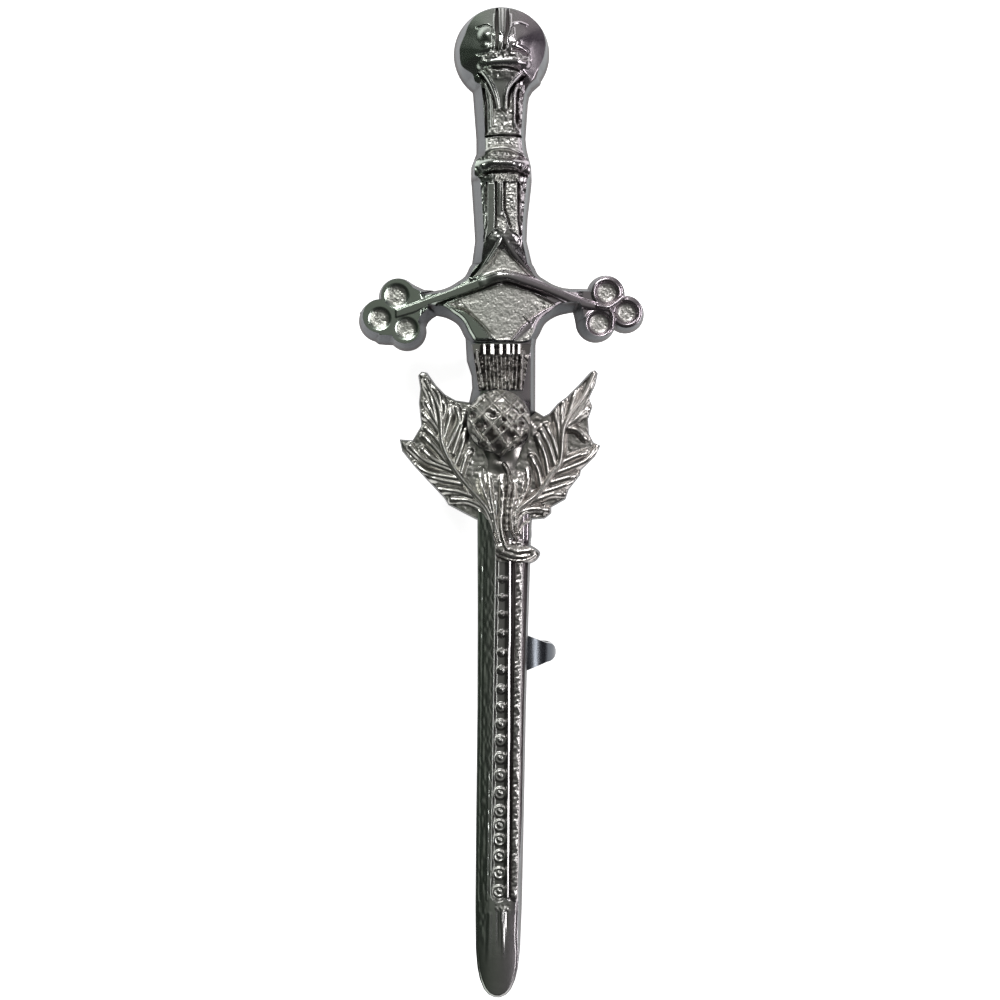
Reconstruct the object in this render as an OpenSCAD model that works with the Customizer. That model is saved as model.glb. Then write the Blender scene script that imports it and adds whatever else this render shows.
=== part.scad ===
// Kilt pin: a cast sword with a thistle spray across it, a bent catch and a straight pin behind.
// Millimetres. X runs across the guard, +Y points to the pommel and +Z out of the decorated face.
// The pin lies face up on its hinge and catch, with the floor at Z 0 and the origin at the middle.

/* [Casting] */
// Length from the top of the pommel to the tip
overall_l = 102; // [94:1:112]
// Width across the two ends of the guard
guard_span = 29.5; // [27:0.5:33]
// Height of the side walls of the casting
edge_h = 1.9; // [1.6:0.1:2.2]
// How far a side wall leans out from its top to its foot
draft = 0.62; // [0.4:0.02:0.8]

/* [Hilt] */
// Length from the top of the pommel to the top of the thistle
hilt_l = 34.8; // [32:0.2:38]
// Diameter of the pommel at its foot
pommel_d = 9.9; // [9:0.1:11]
// Height of the pommel over the back of the casting
pommel_h = 4.5; // [4:0.1:5]
// Width of the grip at its widest ring
ring_w = 6.3; // [5.8:0.1:7]
// Height of the widest ring over the back
ring_h = 4.1; // [3.6:0.1:4.6]
// Height of the raised lines on pommel and grip over what they cross
line_h = 0.28; // [0.2:0.02:0.4]

/* [Guard] */
// Diameter of one lobe of a trefoil end at its foot
lobe_d = 3.9; // [3.5:0.1:4.3]
// Distance of a lobe from the middle of its trefoil
lobe_orbit = 1.8; // [1.6:0.05:2]
// Diameter of the cup in a lobe
cup_d = 2.15; // [1.8:0.05:2.4]
// Depth of the cup in a lobe
cup_depth = 0.6; // [0.4:0.05:0.8]
// Height of the lobes over the back
lobe_h = 2.6; // [2.4:0.1:2.9]
// Width of the ridge along the guard
bar_w = 1.15; // [0.9:0.05:1.4]
// Height of that ridge over the back
bar_h = 3.5; // [3.2:0.1:3.9]
// Depth of the frosted diamond below the ridge
diamond_depth = 0.45; // [0.3:0.05:0.6]
// Degrees by which the guard is turned in the casting
guard_tilt = 1; // [0:0.25:2]

/* [Blade] */
// Width of the blade below the thistle
blade_w = 5.6; // [5.2:0.1:6.2]
// Height of the blade's face over the back
blade_h = 2.45; // [2.3:0.05:2.8]
// Degrees by which the blade leans in the casting
blade_lean = 0.88; // [0:0.02:1.2]
// Width of the studded channel at the thistle
channel_w = 1.1; // [0.9:0.05:1.3]
// Width of the studded channel at the tip end
channel_end_w = 2; // [1.7:0.05:2.2]
// Depth of the studded channel
channel_depth = 0.6; // [0.4:0.05:0.8]
// Number of studs in the channel
stud_n = 19; // [12:1:22]
// Diameter of the stud next to the thistle
stud_d = 0.95; // [0.8:0.05:1]
// Diameter of the stud at the tip end
stud_end_d = 1.35; // [1.2:0.05:1.5]
// Width of the smooth rim beside the channel
rim_w = 0.4; // [0.3:0.05:0.5]
// Width of the twisted band
band_w = 0.75; // [0.6:0.05:0.9]
// Length of one twist of the band
band_pitch = 1.75; // [1.4:0.05:2.2]

/* [Thistle] */
// Length of the tuft
tuft_l = 4.5; // [4:0.1:5]
// Width of the tuft at its top
tuft_w = 6.5; // [6:0.1:7]
// Height of the tuft over the back
tuft_h = 3.6; // [3.2:0.1:4]
// Number of fins in the tuft
fin_n = 9; // [6:1:11]
// Diameter of the globe
globe_w = 6.7; // [6:0.1:7.4]
// Height of the globe over the back
globe_h = 4.9; // [4.4:0.1:5.4]
// Distance between the scales of the globe
scale_pitch = 1.5; // [1.2:0.05:1.8]
// Width across the tips of the two leaves
leaf_span = 20.6; // [18:0.2:23]
// Length of the leaves from tip to foot
leaf_l = 15.4; // [14:0.2:17]
// Height of the leaves over the back
leaf_h = 2.5; // [2.3:0.1:2.8]
// Width of the veins in the leaves
vein_w = 0.5; // [0.35:0.05:0.6]
// Width of the cut end of the stalk
stalk_w = 1.35; // [1.1:0.05:1.6]

/* [Pin and catch] */
// Thickness of the pin wire
wire_d = 1.4; // [1.2:0.1:1.6]
// Room for cloth between the wire and the casting
cloth_gap = 4.6; // [4.3:0.1:6]
// Thickness of the metal of catch and hinge
plate_t = 0.8; // [0.6:0.05:1]
// Width of the hinge bracket
hinge_w = 5; // [4.4:0.1:5.4]
// Length of the hinge bracket along the casting
hinge_l = 4.6; // [4:0.1:5.4]
// Length of the wire from hinge to point
wire_l = 51; // [49:0.5:54]
// Width of the catch at the edge of the blade
catch_w = 3.6; // [3:0.1:4]
// Width of the catch at its bend
catch_tip_w = 1.95; // [1.6:0.05:2.2]
// How far the catch shows beyond the edge of the blade
catch_reach = 3.05; // [2.6:0.05:3.4]

/* [Hidden] */

// Gap left between two pieces that are fixed together
seat_gap = 0.05;
// Gap between the wire and the catch
wire_gap = 0.1;
// The casting's back stands over the catch's lip, the wire and the room for cloth
back_z = plate_t + wire_gap + wire_d + cloth_gap;
// Top, tip and joints of the sword along Y
top_y = overall_l / 2;
tip_y = -overall_l / 2;
pommel_y = top_y - pommel_d / 2;
guard_y = top_y - hilt_l * 0.868;
tuft_y = top_y - hilt_l;
globe_y = tuft_y - tuft_l - globe_w * 0.52;
leaf_y = tuft_y - tuft_l * 0.65;
leaf_foot_y = leaf_y - leaf_l;
blade_top_y = globe_y - globe_w * 0.315;
blade_l = blade_top_y - tip_y;
half_span = guard_span / 2;
// The globe sits a little to the left of the hilt's axis, and the blade starts a little to its right
globe_x = -globe_w * 0.037;
blade_x = blade_w * 0.075;
$fn = 32;
// Share of a raised line's foot that its crest keeps, and the same for a rounder stem
crest = 0.35;
stem_crest = 0.6;

// Grip from pommel to globe: [share of hilt_l from the top, foot and relief widths as shares of
// ring_w, height as a share of ring_h]
GRIP = [
    [0.22, 0.99, 0.74, 0.74], [0.27, 0.9, 0.64, 0.76], [0.34, 0.84, 0.58, 0.75], [0.38, 0.81, 0.53, 0.72],
    [0.4, 0.8, 0.53, 0.66], [0.412, 0.81, 0.62, 0.76], [0.427, 0.86, 0.66, 0.84], [0.438, 0.9, 0.64, 0.76],
    [0.446, 0.92, 0.68, 0.74], [0.458, 0.96, 0.82, 0.92], [0.474, 1, 0.88, 1], [0.492, 1, 0.88, 1],
    [0.508, 1, 0.82, 0.88], [0.518, 0.99, 0.74, 0.76], [0.56, 0.95, 0.72, 0.78], [0.63, 0.87, 0.68, 0.76],
    [0.7, 0.85, 0.67, 0.74], [0.76, 0.97, 0.8, 0.71], [0.8, 1.08, 0.9, 0.68], [0.9, 1.16, 0.98, 0.62],
    [1, 1.15, 0.97, 0.56], [1.05, 1.14, 0.96, 0.56], [1.1, 1.07, 0.86, 0.55], [1.14, 1.04, 0.84, 0.54],
    [1.2, 1.1, 0.9, 0.54], [1.32, 1.02, 0.84, 0.54], [1.4, 0.9, 0.7, 0.54],
];
// Blade from the globe to the tip: [share of blade_l, foot width as a share of blade_w]
BLADE = [
    [0, 1.02], [0.15, 1], [0.33, 0.94], [0.48, 0.9], [0.73, 0.88], [0.84, 0.86], [0.917, 0.82],
    [0.947, 0.76], [0.966, 0.67], [0.984, 0.52], [0.994, 0.34], [1, 0.16],
];
// Right half of the guard, outwards: [share of half_span from the axis, upper and lower edge of the foot
// in the same measure, height as a share of lobe_h]
ARM = [
    [0.02, 0.27, -0.34, 0.9], [0.19, 0.26, -0.34, 0.9], [0.26, 0.175, -0.27, 0.9], [0.31, 0.135, -0.18, 0.9],
    [0.38, 0.09, -0.125, 0.9], [0.46, 0.07, -0.108, 0.9], [0.56, 0.066, -0.12, 0.9], [0.66, 0.06, -0.15, 0.9],
];
// Ridge along the guard, the same two measures and its height as a share of bar_h
BAR = [[0, 0.17, 1], [0.2, 0.112, 0.96], [0.4, 0.04, 0.9], [0.6, -0.03, 0.83], [0.74, -0.07, 0.78]];
// Right half of the frosted diamond below it
DIAMOND = [[0, 0.09], [0.2, 0.03], [0.37, -0.03], [0.24, -0.085], [0.15, -0.15], [0.07, -0.22], [0, -0.28]];
// Directions of a trefoil's lobes from straight out
LOBES = [-14, 102, -130];
// Middle of a trefoil, in the guard's two measures
TREFOIL = [0.749, -0.1];
// Left leaf, from its foot round its left side: [share of half leaf_span from the axis, share of leaf_l
// below the tips, number of the midrib point behind it]
LEFT_LEAF = [
    [-0.25, 1, 4], [-0.35, 0.965, 4], [-0.53, 0.9, 3], [-0.57, 0.855, 3], [-0.75, 0.73, 2], [-0.88, 0.635, 2],
    [-0.99, 0.54, 2], [-1.01, 0.465, 1], [-0.89, 0.472, 1], [-0.8, 0.372, 1], [-0.825, 0.215, 1],
    [-0.81, 0.12, 0], [-0.83, 0.03, 0], [-0.8, 0.01, 0], [-0.75, 0.016, 0], [-0.66, 0.1, 0], [-0.57, 0.162, 1],
    [-0.46, 0.203, 1], [-0.27, 0.216, 2], [-0.27, 0.42, 2], [-0.2, 0.62, 3], [-0.08, 0.85, 4], [-0.07, 1, 4],
];
// Right leaf, from its inner side round its tips, in the same measures
RIGHT_LEAF = [
    [0.07, 1, 4], [0.08, 0.85, 4], [0.2, 0.6, 3], [0.27, 0.4, 2], [0.28, 0.27, 2], [0.42, 0.31, 1], [0.485, 0.287, 1],
    [0.565, 0.223, 1], [0.655, 0.18, 1], [0.77, 0.1, 0], [0.895, 0.01, 0], [0.93, 0, 0], [0.957, 0.016, 0],
    [0.93, 0.095, 0], [0.87, 0.185, 1], [0.895, 0.243, 1], [0.86, 0.324, 1], [0.87, 0.425, 2],
    [0.915, 0.486, 2], [0.985, 0.506, 2], [0.93, 0.574, 2], [0.79, 0.67, 2], [0.78, 0.703, 2], [0.665, 0.8, 3],
    [0.635, 0.865, 3], [0.49, 0.919, 3], [0.49, 0.96, 4], [0.43, 0.993, 4], [0.3, 1, 4],
];
// Midribs, from tip to foot
LEFT_RIB = [[-0.78, 0.06], [-0.61, 0.45], [-0.5, 0.63], [-0.3, 0.8], [-0.14, 0.98]];
RIGHT_RIB = [[0.9, 0.06], [0.64, 0.36], [0.57, 0.61], [0.36, 0.8], [0.14, 0.98]];
// Side veins: each from its place on the rib out to the leaf's edge
LEFT_VEINS = [
    [[-0.69, 0.28], [-0.76, 0.13]], [[-0.69, 0.28], [-0.56, 0.21]], [[-0.61, 0.45], [-0.77, 0.33]],
    [[-0.6, 0.45], [-0.42, 0.27]], [[-0.5, 0.63], [-0.88, 0.51]], [[-0.5, 0.63], [-0.36, 0.34]],
    [[-0.4, 0.71], [-0.78, 0.67]], [[-0.32, 0.79], [-0.6, 0.8]], [[-0.26, 0.86], [-0.47, 0.9]],
];
RIGHT_VEINS = [
    [[0.76, 0.22], [0.88, 0.14]], [[0.7, 0.3], [0.52, 0.29]], [[0.64, 0.36], [0.83, 0.28]],
    [[0.61, 0.48], [0.83, 0.42]], [[0.61, 0.46], [0.42, 0.34]], [[0.57, 0.61], [0.89, 0.51]],
    [[0.5, 0.68], [0.76, 0.66]], [[0.46, 0.72], [0.36, 0.46]], [[0.42, 0.76], [0.64, 0.79]],
    [[0.34, 0.83], [0.5, 0.89]],
];

// Place of a share pair of the leaves
function leaf_at(p) = [p[0] * leaf_span / 2, leaf_y - p[1] * leaf_l];

// The outline moved in by d at every side, with sharp corners held back
function inset(pts, d) = [
    for (i = [0 : len(pts) - 1])
        let (
            n = len(pts),
            a = pts[(i + n - 1) % n],
            b = pts[i],
            c = pts[(i + 1) % n],
            u = (b - a) / norm(b - a),
            v = (c - b) / norm(c - b),
            m = [-u[1] - v[1], u[0] + v[0]],
            k = max(m * m / 2, 0.35)
        )
        b + m * d / k
];

// A plate whose side walls lean in by d from the foot to height h; the outline is convex and anticlockwise
module drafted(pts, d, h) {
    n = len(pts);
    top = inset(pts, d);
    polyhedron(
        points = concat([for (p = pts) [p[0], p[1], 0]], [for (p = top) [p[0], p[1], h]]),
        faces = concat(
            [[for (i = [0 : n - 1]) i]],
            [[for (i = [n - 1 : -1 : 0]) n + i]],
            [for (i = [0 : n - 1]) [i, n + i, n + (i + 1) % n]],
            [for (i = [0 : n - 1]) [i, n + (i + 1) % n, (i + 1) % n]]
        )
    );
}

// One cross-section: leaning walls up to the shoulder, then an arch of n steps to the crown
function arch(x, y, foot_w, relief_w, shoulder, crown, n) = concat(
    [[x - foot_w / 2, y, 0]],
    [
        for (i = [0 : n])
            let (a = 180 - 180 * i / n)
            [x + relief_w / 2 * cos(a), y, shoulder + (crown - shoulder) * sin(a)]
    ],
    [[x + foot_w / 2, y, 0]]
);

// The solid through cross-sections that follow each other towards -Y
module loft(rings) {
    m = len(rings[0]);
    k = len(rings);
    polyhedron(
        points = [for (r = rings, p = r) p],
        faces = concat(
            [[for (i = [m - 1 : -1 : 0]) i]],
            [[for (i = [0 : m - 1]) (k - 1) * m + i]],
            [for (j = [0 : k - 2], i = [0 : m - 1]) [j * m + i, j * m + (i + 1) % m, (j + 1) * m + (i + 1) % m]],
            [for (j = [0 : k - 2], i = [0 : m - 1]) [j * m + i, (j + 1) * m + (i + 1) % m, (j + 1) * m + i]]
        )
    );
}

// A raised line through 3D points, with a foot of width w and a crest of share c of it h above
module ridge(path, w, h, c = crest) {
    n = len(path);
    loft([
        for (i = [0 : n - 1])
            let (
                p = path[i],
                way = path[min(i + 1, n - 1)] - path[max(i - 1, 0)],
                side = [-way[1], way[0], 0] / norm([way[0], way[1]]) * w / 2
            )
            [p - side, p - side * c + [0, 0, h], p + side * c + [0, 0, h], p + side]
    ]);
}

// Height of the pommel's dome at a point, seen from its middle
function dome_z(r, rise) = edge_h + (pommel_h - edge_h) * sqrt(max(0, 1 - r * r / pow(dome_r(), 2))) + rise;
function dome_r() = pommel_d / 2 - draft * 0.85;

module pommel_dome(rise) {
    steps = 7;
    rotate_extrude()
        polygon(concat(
            [[0, 0], [pommel_d / 2, 0]],
            [for (i = [0 : steps]) let (r = dome_r() * cos(90 * i / steps)) [r, dome_z(r, rise)]]
        ));
}

// Pommel: drafted disc under a dome with a fluted rib, two bosses, a band and a tongue
module pommel() {
    rib_w = pommel_d * 0.14;
    translate([0, pommel_y]) {
        pommel_dome(0);
        intersection() {
            pommel_dome(line_h);
            linear_extrude(pommel_h + 1)
                union() {
                    for (k = [-1 : 1])
                        translate([k * rib_w * 0.38 - rib_w * 0.13, 0])
                            square([rib_w * 0.26, pommel_d / 2]);
                    for (side = [-1, 1])
                        translate([side * pommel_d * 0.18, pommel_d * 0.13])
                            scale([0.72, 1]) circle(d = pommel_d * 0.29);
                    translate([-pommel_d * 0.29, -pommel_d * 0.06])
                        square([pommel_d * 0.58, pommel_d * 0.055]);
                }
        }
        tongue();
    }
}

// Tongue: a pointed shield from the pommel down onto the grip, sunk inside its rim
module tongue() {
    w = pommel_d * 0.17;
    top = -pommel_d * 0.15;
    point = -pommel_d * 0.58;
    rim = 0.32;
    h = edge_h + (pommel_h - edge_h) * 0.72;
    difference() {
        linear_extrude(h) polygon([[-w, top], [0, point], [w, top]]);
        translate([0, 0, h - line_h])
            linear_extrude(line_h + 1)
                polygon([[-w + rim * 2, top - rim], [0, point + rim * 3], [w - rim * 2, top - rim]]);
    }
}

// Grip: one loft with its neck, collar, thick ring, waist and the block behind the guard
module grip() {
    steps = 8;
    panel_w = ring_w * 0.4;
    panel_z = ring_h * 0.68;
    rib_z = ring_h * 0.7;
    difference() {
        loft([
            for (s = GRIP)
                arch(0, top_y - s[0] * hilt_l, s[1] * ring_w, s[2] * ring_w, edge_h, s[3] * ring_h, steps)
        ]);
        translate([-panel_w / 2, top_y - hilt_l * 0.375, panel_z])
            cube([panel_w, hilt_l * 0.07, ring_h]);
    }
    ridge(
        [[0, top_y - hilt_l * 0.53, rib_z], [0, top_y - hilt_l * 0.61, rib_z]],
        ring_w * 0.14, ring_h * 0.14
    );
    for (side = [-1, 1])
        ridge(
            [
                for (p = [[0.42, 0.51], [0.33, 0.6], [0.28, 0.68]])
                    [side * p[0] * ring_w / 2 * 1.2, top_y - p[1] * hilt_l, ring_h * 0.5]
            ],
            ring_w * 0.08, ring_h * 0.26
        );
}

// Place of a pair of guard shares on one side, at a height
function guard_at(p, side, z) = [side * p[0] * half_span, p[1] * half_span, z];

// Cross-section of the guard at one place along X, between its lower and upper edge
function arm_arch(x, s) =
    let (
        lower = s[2] * half_span,
        upper = s[1] * half_span,
        top = s[3] * lobe_h,
        r = (upper - lower) / 2 - draft,
        mid = (upper + lower) / 2
    )
    [
        [x, lower, 0], [x, mid - r, edge_h], [x, mid - r * 0.6, top],
        [x, mid + r * 0.6, top], [x, mid + r, edge_h], [x, upper, 0],
    ];

// Guard: block with two arms, the ridge along it, chevrons above and the frosted diamond below
module guard() {
    face = lobe_h * 0.9;
    bar_foot = face - 0.6;
    translate([0, guard_y])
        rotate(guard_tilt) {
            difference() {
                loft(concat(
                    [for (i = [len(ARM) - 1 : -1 : 0]) arm_arch(-ARM[i][0] * half_span, ARM[i])],
                    [for (s = ARM) arm_arch(s[0] * half_span, s)]
                ));
                diamond(face - diamond_depth);
            }
            for (side = [-1, 1]) diamond_rim(side, face - diamond_depth);
            ridge(
                concat(
                    [for (i = [len(BAR) - 1 : -1 : 1]) bar_point(BAR[i], -1, bar_foot)],
                    [for (p = BAR) bar_point(p, 1, bar_foot)]
                ),
                bar_w, bar_h - bar_foot
            );
            for (side = [-1, 1]) {
                chevron(side);
                trefoil(side);
            }
        }
}

function bar_point(p, side, z) = guard_at(p, side, z) + [0, 0, (p[2] - 1) * bar_h];

module diamond(z) {
    half = [for (p = DIAMOND) p * half_span];
    translate([0, 0, z])
        linear_extrude(edge_h + bar_h)
            polygon(concat(half, [for (i = [len(half) - 2 : -1 : 1]) [-half[i][0], half[i][1]]]));
}

module diamond_rim(side, z) {
    ridge(
        [for (i = [2 : len(DIAMOND) - 1]) guard_at(DIAMOND[i], side, z - 0.2)],
        bar_w * 0.42, diamond_depth + 0.5
    );
}

// Two ridges that run down from the grip's waist to the ridge of the guard
module chevron(side) {
    z = edge_h + 0.2;
    ridge(
        [guard_at([0, 0.46], side, z + 0.5), guard_at([0.08, 0.32], side, z + 0.35), guard_at([0.21, 0.17], side, z)],
        bar_w * 0.7, bar_h - z - 0.2
    );
}

// Trefoil: three drafted lobes round a middle, each with a cup
module trefoil(side) {
    cup_r = (cup_d * cup_d / 4 + cup_depth * cup_depth) / (2 * cup_depth);
    translate([side * TREFOIL[0] * half_span, TREFOIL[1] * half_span])
        difference() {
            union() {
                cylinder(h = lobe_h * 0.97, r = lobe_orbit * 0.8);
                for (a = LOBES)
                    translate(lobe_place(a, side))
                        cylinder(h = lobe_h, d1 = lobe_d, d2 = lobe_d - draft * 2);
            }
            for (a = LOBES)
                translate(lobe_place(a, side))
                    translate([0, 0, lobe_h - cup_depth + cup_r]) sphere(r = cup_r);
        }
}

function lobe_place(a, side) = [side * lobe_orbit * cos(a), lobe_orbit * sin(a), 0];

// The blade's own frame: origin on its axis below the globe, -Y to the tip
module on_blade() {
    translate([blade_x, blade_top_y]) rotate(-blade_lean) children();
}

function blade_y(share) = -share * blade_l;

module blade_body() {
    blade_draft = draft * 0.65;
    loft([
        for (s = BLADE)
            arch(
                0, blade_y(s[0]), s[1] * blade_w, max(s[1] * blade_w - blade_draft * 2, 0.15),
                min(edge_h, blade_h - 0.2) * min(1, 0.55 + s[1]), blade_h * min(1, 0.62 + s[1] * 0.6), 6
            )
    ]);
}

// Places of the channel's two ends: [x, y, width]
function channel_ends() = [[-blade_w * 0.03, blade_y(0.23), channel_w], [0, blade_y(0.825), channel_end_w]];

function on_channel(t) = channel_ends()[0] * (1 - t) + channel_ends()[1] * t;

module channel() {
    translate([0, 0, blade_h - channel_depth])
        hull() {
            for (e = channel_ends()) translate([e[0], e[1]]) cylinder(h = blade_h, d = e[2]);
        }
}

// Studs: round collars with a dome, wider towards the tip
module studs() {
    // How far down the channel stud k is; the spacing closes a little towards the tip
    function along(k) = let (t = k / (stud_n - 1)) 0.035 + t * (1.06 - 0.06 * t) * 0.947;
    collar_z = blade_h - channel_depth * 0.45;
    for (k = [0 : stud_n - 1]) {
        p = on_channel(along(k));
        d = stud_d + (stud_end_d - stud_d) * along(k);
        dome_r = d * 0.36;
        translate([p[0], p[1], edge_h * 0.6]) {
            cylinder(h = collar_z - edge_h * 0.6, d = d);
            translate([0, 0, collar_z - edge_h * 0.6 - dome_r * 0.25]) sphere(r = dome_r);
        }
    }
}

// Twisted band: one strip along the right of the channel whose crest rises and swings once a twist
module twisted_band() {
    x = blade_w * 0.285;
    first = blade_y(0.225);
    n = floor((first - blade_y(0.85)) / band_pitch) * 3;
    foot_z = blade_h - 0.5;
    loft([
        for (k = [0 : n])
            let (
                y = first - k * band_pitch / 3,
                swing = band_w * 0.14 * cos(k * 120),
                rise = 0.68 + 0.1 * cos(k * 120)
            )
            [
                [x - band_w / 2 + swing * 0.5, y, foot_z], [x - band_w * 0.28 + swing, y + swing, foot_z + rise],
                [x + band_w * 0.28 + swing, y - swing, foot_z + rise], [x + band_w / 2 + swing * 0.5, y, foot_z],
            ]
    ]);
}

module blade() {
    rim_foot_z = blade_h - 0.4;
    rim_h = 0.65;
    on_blade() {
        difference() {
            blade_body();
            channel();
        }
        studs();
        twisted_band();
        // Smooth rim between channel and band
        ridge(
            [[blade_w * 0.125, blade_y(0.21), rim_foot_z], [channel_end_w * 0.62, blade_y(0.8), rim_foot_z]],
            rim_w, rim_h
        );
        // Two short lines on the chape, which sink away towards the tip
        for (p = [[0.05, 0.9], [0.2, 0.915]])
            ridge(
                [[p[0] * blade_w, blade_y(0.853), rim_foot_z], [p[0] * blade_w, blade_y(p[1]), rim_foot_z - 0.05]],
                rim_w, rim_h - 0.05
            );
    }
}

// Tuft: a block that narrows to the globe, under upright fins
module tuft() {
    foot = 0.72;
    // The block runs on under the globe's edge
    foot_l = tuft_l * 1.12;
    translate([0, tuft_y]) {
        drafted(
            [[-tuft_w / 2, 0], [-tuft_w * foot / 2, -foot_l], [tuft_w * foot / 2, -foot_l], [tuft_w / 2, 0]],
            0.15, tuft_h - 0.5
        );
        for (k = [0 : fin_n - 1]) {
            x = ((k + 0.5) / fin_n - 0.5) * (tuft_w - 0.4);
            ridge(
                [[x, -tuft_w * 0.06, tuft_h - 0.9], [x * foot, -tuft_l, tuft_h - 1.1]],
                tuft_w / fin_n * 0.82, 0.9
            );
        }
    }
}

// Radius of the globe's outline and its height at a share of that radius
function globe_r(t) = globe_w / 2 + t;
function globe_z(share, t) = globe_h * 0.3 + (globe_h * 0.7 + t) * sqrt(max(0, 1 - share * share));

// The globe's surface, raised by t, over the casting's back
module globe_shell(t) {
    steps = 6;
    rotate_extrude()
        polygon(concat(
            [[0, 0.2], [globe_r(t) * 0.97, 0.2]],
            [for (i = [0 : steps]) [globe_r(t) * cos(90 * i / steps), globe_z(cos(90 * i / steps), t)]]
        ));
}

// Globe: a dome under lozenge scales, each with a bead
module globe() {
    reach = floor(globe_w / scale_pitch / 1.3);
    places = [
        for (i = [-reach : reach], j = [-reach : reach])
            let (p = [(i - j) * scale_pitch * 0.68, (i + j) * scale_pitch * 0.74])
            if (norm(p) * 2 / globe_w < 0.93) p
    ];
    translate([globe_x, globe_y]) {
        globe_shell(0);
        intersection() {
            globe_shell(0.2);
            for (p = places)
                translate([p[0], p[1], globe_h * 0.25])
                    linear_extrude(globe_h) polygon(scale_pitch * 0.56 * [[1, 0], [0, 1.08], [-1, 0], [0, -1.08]]);
        }
        for (p = places)
            if (norm(p) < globe_w * 0.4)
                translate([p[0], p[1], globe_z(norm(p) * 2 / globe_w, 0.08)]) sphere(d = scale_pitch * 0.42);
    }
}

// Leaf: a plate that rises from its drafted edge to its midrib, with a ridge on the rib and on each vein
module leaf(outline, rib, veins) {
    n = len(outline);
    m = len(rib);
    foot = [for (p = outline) leaf_at(p)];
    edge = inset(foot, draft * 0.6);
    spine = [for (p = rib) leaf_at(p)];
    edge_z = leaf_h * 0.84;
    // Points: foot, edge, spine on top and spine on the back, in that order
    polyhedron(
        points = concat(
            [for (p = foot) [p[0], p[1], 0]], [for (p = edge) [p[0], p[1], edge_z]],
            [for (p = spine) [p[0], p[1], leaf_h]], [for (p = spine) [p[0], p[1], 0]]
        ),
        faces = [
            for (i = [0 : n - 1])
                let (j = (i + 1) % n, a = outline[i][2], b = outline[j][2])
                each concat(
                    [[j, n + j, n + i], [j, n + i, i]],
                    [[n + j, 2 * n + a, n + i], [i, 2 * n + m + a, j]],
                    a == b ? [] : [[n + j, 2 * n + b, 2 * n + a], [2 * n + m + a, 2 * n + m + b, j]]
                )
        ]
    );
    // How deep the foot of a raised line starts in the plate
    sink = 0.3;
    ridge([for (p = spine) [p[0], p[1], leaf_h - sink]], vein_w * 1.3, sink + line_h * 1.5);
    for (v = veins)
        ridge(
            [concat(leaf_at(v[0]), leaf_h - sink), concat(leaf_at(v[1]), edge_z - sink)],
            vein_w, sink + line_h
        );
}

// Stalk: stems that close up from a fan below the globe and turn to a cut end at the right
module stalk() {
    // Top of each stem in the leaves' measures
    fan = [[-0.24, 0.66], [-0.16, 0.6], [-0.08, 0.66], [0.01, 0.56], [0.09, 0.64], [0.17, 0.6], [0.24, 0.67]];
    foot_z = edge_h - 0.2;
    for (k = [0 : len(fan) - 1]) {
        side = (k / (len(fan) - 1) - 0.5) * stalk_w;
        ridge(
            [
                concat(leaf_at(fan[k]), foot_z),
                [side * 1.9, leaf_foot_y + leaf_l * 0.17, foot_z + 0.2],
                [side * 0.8, leaf_foot_y - 0.3, foot_z + 0.3],
            ],
            stalk_w * 0.42, leaf_h - foot_z + 0.25, stem_crest
        );
    }
    // The cut end runs out past the blade's edge
    turn = [
        for (p = [[-0.1, -0.75], [0.05, 0.7], [0.55, 1.7], [1.4, 2.4], [blade_w / stalk_w * 0.66, 2.6]])
            [p[0] * stalk_w, leaf_foot_y - p[1] * stalk_w, 0.3]
    ];
    ridge(turn, stalk_w * 1.25, leaf_h + 0.75, stem_crest);
}

module front_casting() {
    color("#6e706c")
        translate([0, 0, back_z]) {
            pommel();
            grip();
            guard();
            blade();
            tuft();
            globe();
            leaf(LEFT_LEAF, LEFT_RIB, LEFT_VEINS);
            leaf(RIGHT_LEAF, RIGHT_RIB, RIGHT_VEINS);
            stalk();
        }
}

// The hinge sits behind the grip, and the catch where the wire's point runs this far past it
hinge_y = top_y - hilt_l * 0.575;
wire_past = 4.25;
catch_y = hinge_y - wire_l + wire_past;
catch_edge_x = blade_x - sin(blade_lean) * (blade_top_y - catch_y) + blade_w * 0.46;

// Catch: a strip on the blade's back that bends round under the pin, narrower towards the bend
module catch() {
    outer_r = (back_z - seat_gap) / 2;
    bend_x = catch_edge_x + catch_reach - outer_r;
    foot_x = catch_edge_x - blade_w * 0.8;
    lip_x = bend_x - outer_r * 0.95;
    neck_x = catch_edge_x + catch_reach - catch_tip_w / 2;
    // How far a straight part runs on into the bend
    lap = 0.05;
    color("#9a9c9c")
        translate([0, catch_y, 0]) {
            // Foot and upper half of the bend, cut to the tapered plan
            intersection() {
                union() {
                    translate([foot_x, -catch_w / 2, back_z - seat_gap - plate_t])
                        cube([bend_x - foot_x + lap, catch_w, plate_t]);
                    translate([bend_x, 0, outer_r]) bend(outer_r, catch_w, 0, 90);
                }
                linear_extrude(back_z)
                    union() {
                        polygon([
                            [foot_x, -catch_w / 2], [catch_edge_x, -catch_w / 2], [neck_x, -catch_tip_w / 2],
                            [neck_x, catch_tip_w / 2], [catch_edge_x, catch_w / 2], [foot_x, catch_w / 2],
                        ]);
                        translate([neck_x, 0]) circle(d = catch_tip_w);
                    }
            }
            // Lower half of the bend and the lip under the wire
            intersection() {
                translate([bend_x, 0, outer_r]) bend(outer_r, catch_tip_w, -90, 0);
                linear_extrude(outer_r)
                    union() {
                        translate([bend_x - 1, -catch_tip_w / 2]) square([neck_x - bend_x + 1, catch_tip_w]);
                        translate([neck_x, 0]) circle(d = catch_tip_w);
                    }
            }
            translate([lip_x, -catch_tip_w / 2, 0]) cube([bend_x - lip_x + lap, catch_tip_w, plate_t]);
        }
}

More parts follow.
